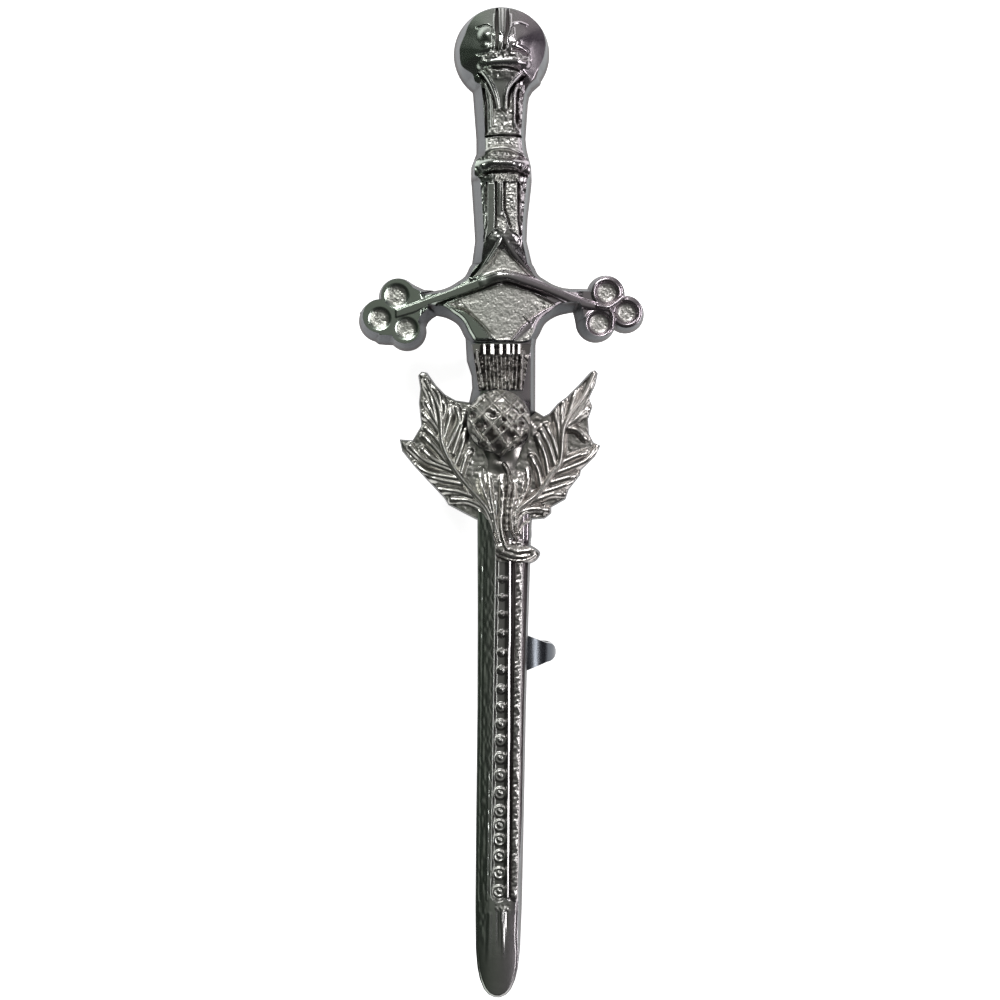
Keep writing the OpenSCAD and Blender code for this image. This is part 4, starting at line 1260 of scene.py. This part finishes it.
@dataclass
class Globe(Spray):
    """Thistle globe: a dome under crossing ridges, with beads made bright by painted highlights and dark pits
    between them, darkened by painted shade.
    """

    pitch: float = 0.055
    wall_h: float = 2.9
    draft: float = 0.16
    top_h: float = 4.55
    centre: tuple[float, float] = (-0.3, 8.1)
    radius: float = 3.4
    ridges: Sequence[Pairs] = (
        ((-2.05, 11.12), (-1.08, 10.15), (-0.02, 8.92), (1.0, 7.7), (1.9, 6.5)),
        ((-2.67, 9.53), (-1.79, 8.65), (-0.9, 7.59), (0.15, 6.18), (0.6, 5.5)),
        ((-3.2, 8.2), (-2.76, 7.42), (-2.23, 6.62), (-1.52, 5.92), (-0.8, 5.1)),
        ((-1.17, 11.65), (-0.02, 10.77), (1.04, 9.8), (1.74, 9.18), (2.89, 7.77)),
        ((-1.79, 6.71), (-0.55, 8.1), (0.15, 8.78), (0.77, 9.36), (1.5, 10.1)),
        ((-0.9, 5.9), (0.33, 7.15), (1.04, 7.77), (1.74, 8.47), (2.4, 9.0)),
        ((0.2, 4.9), (1.21, 5.98), (2.72, 7.32)), ((-2.8, 8.0), (-1.6, 9.2), (-0.5, 10.3), (0.4, 11.2)),
        ((-2.9, 9.5), (-1.6, 10.8)),
    )
    # Beads: (place, radius)
    beads: Sequence[tuple[tuple[float, float], float]] = (
        ((-2.09, 10.33), 0.34), ((-1.08, 10.94), 0.26), ((-0.6, 10.55), 0.2), ((-1.17, 9.44), 0.46),
        ((-2.14, 8.52), 0.22), ((-2.76, 9.49), 0.22), ((0.33, 9.53), 0.34), ((1.04, 8.61), 0.46),
        ((-0.38, 8.69), 0.22), ((0.42, 7.77), 0.38), ((1.56, 7.95), 0.38), ((0.95, 7.15), 0.26),
        ((-0.55, 6.98), 0.3), ((1.43, 6.18), 0.44), ((2.4, 7.11), 0.3), ((1.83, 9.53), 0.34),
        ((2.53, 8.56), 0.34), ((-1.79, 6.18), 0.32), ((0.33, 5.92), 0.26), ((-0.9, 5.08), 0.2),
    )
    # Pits: (place, radius)
    pits: Sequence[tuple[tuple[float, float], float]] = (
        ((-1.08, 6.71), 0.75), ((0.77, 6.62), 0.7), ((-0.46, 5.65), 0.7), ((2.0, 7.77), 0.35),
        ((2.4, 6.5), 0.45), ((1.74, 5.7), 0.45), ((-2.3, 7.4), 0.5), ((-0.9, 8.7), 0.35), ((0.3, 8.3), 0.3),
        ((-1.9, 5.7), 0.4), ((2.1, 9.1), 0.3), ((-2.9, 8.7), 0.4), ((0.1, 7.3), 0.35), ((1.3, 7.5), 0.3),
        ((-1.6, 7.7), 0.4),
    )

    def name(self) -> str:
        """Plain name of the piece."""
        return "thistle_globe"

    def box(self) -> tuple[float, float, float, float]:
        """Plan of the globe."""
        x, y = self.centre
        return x - self.radius, y - self.radius - 0.4, x + self.radius, y + self.radius

    def inside(self, points: np.ndarray) -> np.ndarray:
        """Round, with a blunt point below."""
        x, y = (points - self.centre).T
        point = distance_inside(points, np.array([(-2.6, 5.9), (-0.1, 4.25), (2.1, 5.9), (0, 8)]))
        return np.maximum(self.radius - np.hypot(x, y), point)

    def shape_face(self, wax: Wax, depth: np.ndarray) -> None:
        """Raise the dome, sink its pits under painted shade, and lay ridges and beads over it with painted
        highlights.
        """
        share = np.hypot(*(wax.points - self.centre).T) / self.radius
        wax.z = self.wall_h + (self.top_h - self.wall_h) * np.clip(1 - share**2, -0.3, 1)
        wax.roughen(ease((share - 0.1) / 0.5), 0.5, 0.12, 29, frost_and_highlight=0.1)
        for place, radius in self.pits:
            wax.bead(place, radius * 1.2, -0.3)
            gap = np.hypot(*(wax.points - place).T) / radius
            # Painted shade in the pits
            wax.paint_shade(0.95 * ease((1.1 - gap) / 0.4))
        for ridge in self.ridges:
            curve = curve_through(ridge)
            wax.line(curve, 0.42, 0.24)
            i, gap, _, _ = wax.near(curve, 0.2)
            # The ridges' crests lose the painted shade and take a painted highlight, given as frosting
            wax.painted_shade[i] *= ease(gap / 0.2)
            wax.frost_and_highlight[i] = np.maximum(wax.frost_and_highlight[i], 0.35 * ease((0.2 - gap) / 0.1))
        for place, radius in self.beads:
            wax.bead(place, radius * 1.15, 0.34)
            # Painted highlight on each bead, given as frosting, with the painted shade taken off
            bead_highlight = bell(np.hypot(*(wax.points - place).T) / (radius * 1.3))
            wax.frost_and_highlight = np.maximum(wax.frost_and_highlight, 0.75 * bead_highlight)
            wax.painted_shade *= 1 - bead_highlight


@dataclass
class Leaf(Spray):
    """Thistle leaf: a plate with a midrib and side veins that stand as round ridges."""

    pitch: float = 0.06
    wall_h: float = 1.9
    draft: float = 0.16
    label: str = "leaf"
    # How far the cast rounds out past the outline's corners
    growth: float = 0.08
    outline: Pairs = ()
    rib: Pairs = ()
    veins: Sequence[Pairs] = ()
    # Bright thin rim lines along the leaf's edge
    rims: Sequence[Pairs] = ()

    def name(self) -> str:
        """Plain name of the piece."""
        return self.label

    def box(self) -> tuple[float, float, float, float]:
        """Plan of the leaf."""
        points = np.array(self.outline)
        return (*(points.min(axis=0) - self.growth), *(points.max(axis=0) + self.growth))

    def inside(self, points: np.ndarray) -> np.ndarray:
        """Toothed outline, rounded by the cast."""
        return distance_inside(points, np.array(self.outline)) + self.growth

    def shape_face(self, wax: Wax, depth: np.ndarray) -> None:
        """Swell the plate into soft ridges along its veins."""
        wax.roughen(ease(depth / 0.3), 0.5, 0.14, 41, frost_and_highlight=0.26)
        for vein in self.veins:
            wax.roll(curve_through(vein), 1.1, 1.85, ((0, 2.25), (0.3, 2.5), (1, 2.45)), 2.2)
        wax.roll(curve_through(self.rib), 1.0, 1.9, ((0, 2.45), (0.5, 2.7), (1, 2.65)), 1.8)
        for rim in self.rims:
            wax.roll(rim, 0.34, 1.85, 2.3, 1.2)


@dataclass
class Stalk(Spray):
    """Bundle of strands below the thistle that turns to a cut end across the blade."""

    pitch: float = 0.058
    draft: float = 0.2
    outline: Pairs = (
        (-3.7, 5.8), (-3.6, 3.0), (-3.4, 0.6), (-3.1, -0.9), (-1.9, -1.6), (-1.2, -3.0), (-0.9, -4.8),
        (-0.6, -6.3), (1.5, -6.6), (3.3, -6.4), (4.0, -5.4), (3.0, -4.6), (1.9, -4.2), (3.0, -4.1),
        (3.1, -2.6), (3.2, -1.3), (3.3, 0.6), (3.6, 3.0), (3.7, 5.8), (0.0, 6.6),
    )
    # Strands: (points, width, crest heights at both ends)
    strands: Sequence[tuple[Pairs, float, float, float]] = (
        (((-3.35, -0.34), (-2.33, -0.97), (-1.39, -2.5), (-0.47, -4.65), (0.1, -5.3)), 0.8, 2.4, 2.9),
        (((-2.21, 3.12), (-2.0, 1.58), (-1.49, 0.05), (-1.08, -1.28), (-0.78, -3.0)), 0.8, 2.6, 2.7),
        (((-1.25, 3.4), (-1.18, 1.07), (-0.88, -0.97), (-0.62, -2.5), (-0.2, -4.2)), 0.75, 2.6, 2.9),
        (((0.05, 3.5), (0.05, 0.05), (-0.11, -1.99), (0.04, -3.53), (0.5, -5.0)), 1.0, 2.6, 3.0),
        (((1.5, 2.8), (1.3, 0.56), (1.0, -0.97), (1.11, -3.0), (1.57, -3.83)), 0.7, 2.6, 2.8),
        (((2.6, 3.9), (2.75, 2.1), (2.19, 0.56), (1.47, -0.97), (1.3, -2.5)), 0.75, 2.4, 2.7),
        (((3.41, -0.66), (2.08, -1.48), (1.57, -2.5), (1.67, -3.3)), 0.6, 2.5, 2.7),
        (((3.0, -1.79), (2.08, -2.6), (1.88, -3.4)), 0.55, 2.5, 2.65),
    )
    # Bright crumpled seam beside the stem
    seam: Pairs = ((0.24, 3.7), (0.65, 2.9), (0.86, 1.58), (0.6, -0.46), (0.5, -1.99), (0.6, -3.0))
    # Cut end across the blade, and the lines on it: (path, width, height)
    cut_end: Pairs = ((0.1, -4.9), (1.2, -5.4), (2.4, -5.5), (3.5, -5.2))
    cut_lines: Sequence[tuple[Pairs, float, float]] = (
        (((-0.3, -5.7), (1.2, -6.2), (2.6, -6.1), (3.4, -5.7)), 0.4, 0.16),
        (((0.4, -5.1), (1.6, -5.5), (2.8, -5.4)), 0.5, -0.12),
    )

    def name(self) -> str:
        """Plain name of the piece."""
        return "stalk"

    def box(self) -> tuple[float, float, float, float]:
        """Plan of the stalk."""
        points = np.array(self.outline)
        return (*points.min(axis=0), *points.max(axis=0))

    def inside(self, points: np.ndarray) -> np.ndarray:
        """Waisted bundle with its cut end."""
        return distance_inside(points, curve_through(self.outline, closed=True))

    def rise(self, points: np.ndarray) -> np.ndarray:
        """The bundle's edge lies under leaves and blade, and only the cut end has a wall."""
        return table(points[:, 1], ((-4.4, 2.3), (-3.4, 1.6)))

    def shape_face(self, wax: Wax, depth: np.ndarray) -> None:
        """Smooth hollow below the globe, then the strands, the seam and the cut end."""
        hollow = ease((wax.y - 1.6) / 1.6)
        wax.z += (0.6 - 0.2 * hollow) * ease(depth / 1.2) * ease((wax.y + 3) / 1.5)
        wax.z += hollow * (0.2 * lumps(wax.points, 1.2, 44) - 0.2 * ease((np.abs(wax.x) - 0.9) / 1.4))
        # Painted shadow in the hollow under the globe, fading to the sides
        wax.paint_shade(0.6 * hollow * bell(wax.x / 3))
        for path, width, start, end in self.strands:
            rows = ((0, 1.9), (0.3, start), (1, end))
            wax.roll(curve_through(path), width, 1.9, rows, 1.5)
        grainy = ease((3.4 - wax.y) / 1.5) * ease((wax.y + 3.6) / 1.5)
        wax.roughen(grainy, 0.4, 0.14, 42, frost_and_highlight=0.26)
        seam = curve_through(self.seam)
        wax.roll(seam, 0.5, 2.0, ((0, 2.4), (0.3, 2.75), (1, 2.85)), 1.2)
        i, gap, _, _ = wax.near(seam, 0.3)
        crumpled = np.zeros(len(wax.z))
        crumpled[i] = ease((0.3 - gap) / 0.15)
        wax.roughen(crumpled, 0.4, 0.3, 43, frost_and_highlight=0.3)
        wax.roll(curve_through(self.cut_end), 1.9, 2.3, 2.9, 1.2)
        for path, width, height in self.cut_lines:
            wax.line(curve_through(path), width, height)
        wax.roughen(ease((-4.3 - wax.y) / 0.4), 0.4, 0.1, 45, frost_and_highlight=0.15)


@dataclass
class Blade(Relief):
    """Blade with a studded channel, a rim, a twisted band and a plain chape at the tip."""

    pitch: float = 0.07
    wall_h: float = 2.08
    left_lean: float = 0.07
    right_lean: float = 0.24
    origin: tuple[float, float] = (0.42, 6.1)
    lean_angle: float = 0.01536
    # Length of a turn of the twisted band, and slant of the faces that look to the right
    twist: float = 1.75
    slant: float = 0.38
    # Section of the face: (place across, height)
    section: Pairs = ((-2.6, 2.08), (-0.95, 2.4), (1.95, 2.36), (2.4, 2.08))
    # Foot: (distance below the blade's top, half width)
    foot: Pairs = (
        (0, 2.86), (8.6, 2.8), (18.8, 2.63), (27.4, 2.52), (41.7, 2.46), (48, 2.41), (52.4, 2.3),
        (54.1, 2.13), (55.2, 1.88), (56.2, 1.46), (56.8, 0.95), (57.1, 0.3),
    )
    # Distance of the channel's left side from the axis, which is also the radius of its round end
    channel_side: float = 0.84
    # Right side of the channel: (distance below the blade's top, place across)
    channel_right: Pairs = ((12, 0.46), (46, 0.83))
    # Where the round end begins, and how far the channel is sunk
    channel_end: float = 46.4
    channel_depth: float = 0.32
    # Height that the studs stand on
    channel_floor: float = 2.08
    # Lines on the chape: (path, width, height)
    chape_lines: Sequence[tuple[Pairs, float, float]] = (
        (((0.35, 48.0), (0.48, 50.4), (0.55, 54.0)), 0.5, 0.06), (((-0.9, 48.5), (-1.0, 54.0)), 0.7, 0.06),
        (((0.85, 48.2), (0.9, 51.0)), 0.3, -0.05), (((-0.1, 48.2), (0.0, 53.0)), 0.4, -0.04),
    )
    # Distances of the studs below the blade's top
    stud_places: Sequence[float] = (
        14.2, 16.05, 17.8, 19.75, 21.7, 23.5, 25.45, 27.3, 29.05, 30.7, 32.5, 34.3, 36.1, 37.95, 39.4, 40.9,
        42.55, 44.3, 46.15,
    )

    def name(self) -> str:
        """Plain name of the piece."""
        return "blade"

    def box(self) -> tuple[float, float, float, float]:
        """Plan of the blade."""
        return -3.3, TIP_Y, 3.4, self.origin[1]

    def own(self, points: np.ndarray) -> np.ndarray:
        """Points in the blade's own frame: across it, and below its top."""
        dx, dy = (points - self.origin).T
        return np.column_stack([dx - dy * self.lean_angle, -dy - dx * self.lean_angle])

    def inside(self, points: np.ndarray) -> np.ndarray:
        """Long outline with a blunt tip."""
        half = [(x, y) for y, x in self.foot]
        outline = np.array(half + [(-x, y) for x, y in reversed(half)])
        return distance_inside(self.own(points), outline)

    def top(self, points: np.ndarray) -> np.ndarray:
        """The left wall is upright, and the right one leans."""
        across, below = self.own(points).T
        lean = table(below, (
            (0, self.right_lean), (38, self.right_lean), (45, 0.42), (50, 0.36), (54, self.left_lean),
        ))
        return self.inside(points) - self.left_lean - (lean - self.left_lean) * ease(across + 0.5)

    def rise(self, points: np.ndarray) -> np.ndarray:
        """Both edges lie a little lower than the face, and the hidden top lies under the leaves."""
        return self.wall_h - self.sunk(self.own(points)[:, 1])

    def sunk(self, below: np.ndarray) -> np.ndarray:
        """How much lower the blade is behind the stalk."""
        return 0.7 * ease((6.8 - below) / 2)

    def in_channel(self, points: np.ndarray) -> np.ndarray:
        """Distance inside the channel, which ends in a half circle."""
        x, y = points.T
        right = np.interp(y, *zip(*self.channel_right))
        sides = np.minimum(x + self.channel_side, right - x)
        end = self.channel_side - np.hypot(x, np.maximum(y - self.channel_end, 0))
        return np.where(y > self.channel_end, end, sides)

    def edges(self, points: np.ndarray) -> list[np.ndarray]:
        """The mesh follows the channel's edge."""
        return [self.in_channel(self.own(points))]

    def shape_face(self, wax: Wax, depth: np.ndarray) -> None:
        """Shape the panel, the channel with its studs, the rim and the band."""
        wax.points = self.own(wax.points)
        crowned = self.wall_h + 0.38 * np.clip(1 - (wax.x / 2.5) ** 2, 0, 1)
        chape = ease((wax.y - 46.5) / 2.5)
        face = np.interp(wax.x, *np.array(self.section).T) * (1 - chape) + crowned * chape
        wax.z += (face - self.sunk(wax.y) - wax.z) * ease(depth / 0.3)
        ripple = lumps(wax.points * (2.4, 0.8), 0.5, 31) * ease((54 - wax.y) / 4) * ease(-wax.x - 0.7)
        wax.z += 0.03 * ripple * ease(depth / 0.3)
        gap = self.in_channel(wax.points)
        wax.z -= self.channel_depth * ease(gap / 0.4 + 0.1)
        # Painted shade on the channel's floor, reaching a little past its edge so that the edge shows no
        # highlight
        wax.paint_shade(0.5 * ease(gap / 0.16 + 0.9))
        wax.line([(-1.24, 34.0), (-1.22, 47.0)], 0.28, 0.05)
        wax.line([(-2.1, 11.0), (-2.0, 47.0)], 0.3, -0.05)
        self.shape_studs(wax)
        self.shape_right(wax)
        self.shape_chape(wax)

    def shape_studs(self, wax: Wax) -> None:
        """Low studs along the channel: a bump and a dimple beside it, larger and flatter to the tip."""
        for k, y in enumerate(self.stud_places):
            t = k / (len(self.stud_places) - 1)
            x, radius = -0.14 + 0.17 * t, 0.38 + 0.34 * ease(t / 0.7)
            near = np.nonzero(np.abs(wax.y - y) < 1)[0]
            dx, dy = wax.x[near] - x, wax.y[near] - y
            gap = np.hypot(dx, dy) / radius
            stud = self.channel_floor + (0.3 - 0.16 * t) * np.clip(1 - gap**2.5, 0, 1)
            stud += 0.07 * t * bell((gap - 0.75) / 0.2) - 0.08 * t * bell((gap - 0.4) / 0.25)
            stud += (0.16 - 0.1 * t) * bell(np.hypot(dx + 0.08, dy + 0.08) / 0.26)
            lies = gap < 1
            wax.z[near] = np.where(lies, np.maximum(wax.z[near], stud), wax.z[near])
            # The studs keep little of the painted shade
            wax.painted_shade[near] *= np.where(lies, 0.2, 1)
            wax.frost_and_highlight[near] = np.where(lies, 0.1 + 0.2 * t, wax.frost_and_highlight[near])
            wax.line([(x - 0.92, y - 0.55), (x - 1.1, y), (x - 0.92, y + 0.55)], 0.24, -0.03)

    def shape_right(self, wax: Wax) -> None:
        """Rim, groove, twisted band and rough outer strip on the right of the channel."""
        along = ease((wax.y - 10) / 0.5) * ease((47.2 - wax.y) / 0.6)
        ditch = ease((0.24 - np.abs(wax.x - np.interp(wax.y, (11, 46.5), (0.98, 1.2)))) / 0.08) * along
        wax.z -= 0.3 * ditch
        # Painted shade in the groove
        wax.paint_shade(0.7 * ditch)
        strip = ease((wax.x - 1.96) / 0.06) * ease((2.42 - wax.x) / 0.06) * along
        wax.z += strip * (2.0 - wax.z)
        # Painted shade over the outer strip
        wax.paint_shade(0.9 * strip)
        # The rim's top slants to the right, so that it catches the side light from end to end
        wax.facet([(0.62, 10.2), (0.94, 46.6)], 0.4, 2.62, self.slant)
        # So does the right half of the twisted band, past a crest that winds from side to side
        turn = (wax.y - 12) * 2 * math.pi / self.twist
        offset = wax.x - 1.7 - 0.09 * np.cos(turn)
        band = 2.6 - np.where(offset > 0, self.slant * offset, -0.12 * offset)
        band += 0.02 * np.cos(3 * turn + 5 * offset)
        edge = ease((0.38 - np.abs(wax.x - 1.6)) / 0.08 + 0.5) * along
        wax.z += edge * (band - wax.z)
        wax.roughen(edge, 0.34, 0.1, 34, frost_and_highlight=0.4)

    def shape_chape(self, wax: Wax) -> None:
        """Frosted patch and short lines below the channel."""
        patch = wax.shape([(-0.35, 47.4), (1.3, 47.4), (1.2, 48.2), (-0.35, 48.1)], 0.4)
        wax.roughen(patch, 0.34, 0.14, 33, frost_and_highlight=0.35)
        for path, width, height in self.chape_lines:
            wax.line(path, width, height, fade=0.6)
        wax.facet([(0.34, 47.9), (0.46, 50.6)], 0.22, 2.5, self.slant, fade=0.6)
        # Painted shade, deeper towards the tip and in soft blotches
        wax.paint_shade(0.4 * ease((wax.y - 49) / 5) * (0.8 + 0.2 * lumps(wax.points, 0.9, 35)))


LEFT_LEAF = Leaf(
    label="left_leaf",
    outline=(
        (-8.23, 13.23), (-8.54, 12.91), (-8.33, 11.56), (-8.47, 10.08), (-8.23, 7.7), (-9.16, 6.15),
        (-10.46, 6.25), (-10.22, 5.12), (-9.05, 3.67), (-7.71, 2.22), (-5.89, 0.31), (-5.44, -0.42),
        (-3.6, -1.39), (-2.58, -1.91), (-0.6, -2.4), (-0.4, 2.0), (-2.6, 7.0), (-3.0, 9.9), (-3.39, 10.08),
        (-4.77, 10.28), (-5.89, 10.9), (-6.81, 11.83), (-7.73, 13.14),
    ),
    rib=(
        (-7.78, 12.3), (-6.42, 9.27), (-6.11, 5.93), (-5.06, 3.63), (-3.81, 1.86), (-1.72, -0.54),
        (-0.89, -2.11),
    ),
    veins=(
        ((-7.67, 11.78), (-7.25, 10.42), (-6.73, 8.02)), ((-7.67, 10.0), (-6.84, 8.23), (-6.31, 7.18)),
        ((-7.98, 8.85), (-7.04, 7.81), (-6.21, 6.56)), ((-7.78, 7.39), (-6.73, 6.35), (-5.37, 4.15)),
        ((-7.98, 6.56), (-6.94, 5.51), (-5.48, 3.74)), ((-8.09, 5.2), (-6.73, 4.05), (-5.06, 3.42)),
        ((-9.34, 5.51), (-7.98, 4.15), (-6.42, 3.53), (-4.75, 2.9)),
        ((-8.82, 3.63), (-7.46, 2.8), (-4.64, 2.28)),
        ((-7.88, 2.59), (-6.21, 2.07), (-4.02, 1.65)), ((-6.42, 1.13), (-4.64, 0.92), (-2.97, 0.4)),
        ((-5.06, 0.08), (-3.39, -0.02), (-1.93, -0.75), (-1.2, -1.8)),
        ((-7.46, 11.98), (-6.52, 10.94), (-6.21, 9.27)), ((-6.21, 10.52), (-5.79, 9.48), (-6.21, 8.02)),
        ((-5.17, 9.69), (-5.37, 8.44), (-6.0, 6.35)),
        ((-4.64, 9.48), (-4.33, 8.23), (-5.06, 6.56), (-5.69, 5.3)),
        ((-3.81, 8.85), (-4.23, 7.39), (-5.06, 4.89)), ((-3.7, 7.18), (-4.12, 5.51), (-4.75, 3.84)),
        ((-3.29, 4.99), (-3.7, 4.47), (-4.23, 2.8)),
    ),
)
RIGHT_LEAF = Leaf(
    label="right_leaf",
    outline=(
        (9.61, 13.38), (9.24, 13.23), (7.96, 11.83), (6.76, 10.64), (5.83, 9.97), (5.0, 8.98), (4.36, 8.63),
        (3.53, 9.14), (2.9, 8.6), (2.6, 6.5), (0.6, 2.0), (0.6, -2.2), (3.09, -1.91), (4.43, -1.81),
        (5.07, -1.29), (5.07, -0.67), (6.55, 0.16), (6.86, 1.14), (8.05, 2.64), (8.13, 3.15), (9.6, 4.6),
        (10.13, 5.63), (9.45, 5.94), (8.97, 6.87), (8.88, 8.42), (9.33, 9.66), (8.97, 10.55), (9.61, 11.94),
        (9.86, 13.13),
    ),
    rib=(
        (9.46, 13.03), (8.21, 10.42), (6.43, 7.7), (6.02, 4.15), (5.08, 2.69), (3.82, 0.81), (1.94, -0.75),
        (0.9, -2.11),
    ),
    veins=(
        ((7.79, 11.46), (7.16, 9.9), (6.54, 8.02)), ((6.33, 10.0), (6.12, 8.02), (6.02, 5.3)),
        ((5.49, 9.37), (5.81, 7.18), (6.02, 4.47)), ((4.66, 7.6), (5.28, 6.14), (5.81, 4.26)),
        ((4.14, 7.18), (4.87, 5.51), (5.49, 3.42)), ((3.72, 6.56), (4.45, 4.47), (4.76, 2.59)),
        ((3.09, 4.47), (3.72, 3.01), (4.03, 1.34)), ((9.67, 12.82), (8.83, 10.52), (7.16, 8.02)),
        ((8.83, 9.37), (7.79, 8.44), (6.54, 7.5)), ((8.52, 6.35), (7.79, 7.18), (6.95, 7.39)),
        ((8.83, 4.99), (7.48, 4.47), (6.12, 3.84)), ((9.88, 5.51), (8.73, 4.15), (7.16, 3.42), (5.49, 2.8)),
        ((7.79, 2.59), (6.54, 2.28), (5.08, 1.86)), ((7.48, 2.17), (6.33, 1.54), (3.82, 0.71)),
        ((6.33, 0.71), (5.08, 0.61), (2.99, -0.13)), ((4.97, -0.96), (3.2, -0.86), (1.74, -1.27)),
    ),
    rims=(
        ((8.5, 12.3), (9.1, 13.0)), ((8.75, 9.3), (8.75, 8.9)), ((8.95, 4.7), (9.75, 5.45)),
        ((6.4, 1.3), (7.7, 2.5)), ((4.4, -0.5), (4.3, -1.4)),
    ),
)


@dataclass
class Stage:
    """Pale opal floor, soft studio light and a camera right above the pin."""

    # Distance of the lens from the casting's back, which gives the photograph's slight perspective
    lens_height_mm: float = 250.0
    # Length that the picture's side covers at the casting's back
    picture_mm: float = 103.343
    centre_mm: tuple[float, float] = (-0.165, 0.052)
    sensor_mm: float = 36.0
    # Half the side of the floor in metres
    floor_half_m: float = 1.5
    overhead: str = "#878a84"
    # Sides of the room: (axis, where the colour begins and is full, colour)
    walls: Sequence[tuple[str, float, float, str]] = (
        ("X", 0.0, -0.5, "#2c332c"), ("X", 0.0, 0.45, "#2a2230"), ("Y", -0.05, -0.5, "#343434"),
        ("Y", 0.4, 0.9, "#a4a5a2"),
    )
    # Soft boxes: (name, place, width and length, watts)
    boxes: Sequence[tuple[str, tuple[float, float, float], tuple[float, float], float]] = (
        ("top_box", (-90, 300, 330), (240, 80), 1.1),
        ("right_box", (270, 0, 300), (300, 80), 0.7),
    )

    def build(self) -> None:
        """Set up camera, floor, world and lights."""
        self.camera()
        self.floor()
        self.world()
        self.lights()

    def camera(self) -> None:
        """Camera that looks straight down, with the pommel at the top of the picture."""
        data = bpy.data.cameras.new("camera")
        data.sensor_width = self.sensor_mm
        data.lens = self.sensor_mm * self.lens_height_mm / self.picture_mm
        data.clip_start = 0.01
        camera = bpy.data.objects.new("camera", data)
        camera.location = Vector((*self.centre_mm, CASTING_BACK + self.lens_height_mm)) * MM
        bpy.context.scene.collection.objects.link(camera)
        bpy.context.scene.camera = camera

    def floor(self) -> None:
        """A wide sheet of opal acrylic under the pin."""
        half = self.floor_half_m
        places = np.array([(-half, -half, 0), (half, -half, 0), (half, half, 0), (-half, half, 0)])
        sheet = mesh_piece("floor_card", places, np.empty((0, 3), int), [[0, 1, 2, 3]])
        sheet.data.materials.append(LightTable().material())

    def world(self) -> None:
        """Grey room that is white above the pommel, greenish on the left and violet on the right."""
        world = bpy.data.worlds.new("studio")
        world.use_nodes = True
        tree = world.node_tree
        tree.nodes.clear()
        way = add_node(tree, "ShaderNodeTexCoord").outputs["Generated"]
        parts = add_node(tree, "ShaderNodeSeparateXYZ", {0: way})
        room = srgb(self.overhead)
        for axis, low, high, tone in self.walls:
            share = add_node(
                tree, "ShaderNodeMapRange", {"Value": parts.outputs[axis], "From Min": low, "From Max": high},
                interpolation_type="SMOOTHSTEP",
            ).outputs[0]
            mixed = add_node(tree, "ShaderNodeMix", {0: share, 6: room, 7: srgb(tone)}, data_type="RGBA")
            room = mixed.outputs[2]
        background = add_node(tree, "ShaderNodeBackground", {"Color": room, "Strength": 1.0})
        out = add_node(tree, "ShaderNodeOutputWorld")
        tree.links.new(background.outputs[0], out.inputs[0])
        bpy.context.scene.world = world

    def lights(self) -> None:
        """Soft boxes round the camera."""
        for name, place, size, watts in self.boxes:
            data = bpy.data.lights.new(name, "AREA")
            data.shape = "RECTANGLE"
            data.size, data.size_y = (s * MM for s in size)
            data.energy = watts
            light = bpy.data.objects.new(name, data)
            light.location = Vector(place) * MM
            light.rotation_euler = (-light.location).to_track_quat("-Z", "Y").to_euler()
            light.visible_camera = False
            bpy.context.scene.collection.objects.link(light)


def dress_fittings() -> None:
    """Plate the catch and the hinge with its wire, which stay as they are built."""
    for node in ("catch", "pin_back"):
        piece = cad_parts[node]
        for held in piece.material_slots:
            held.material = NickelSteel().material()
        log.info("%s: plated", node)


def main() -> None:
    """Build the stage, the casting and the fittings."""
    logging.basicConfig(level=logging.INFO, format="%(name)s %(message)s")
    bpy.context.scene.view_settings.view_transform = "Standard"
    Stage().build()
    for relief in (Hilt(), Guard(), Tuft(), Globe(), LEFT_LEAF, RIGHT_LEAF, Stalk(), Blade()):
        relief.build()
    dress_fittings()


if __name__ == "__main__":
    main()
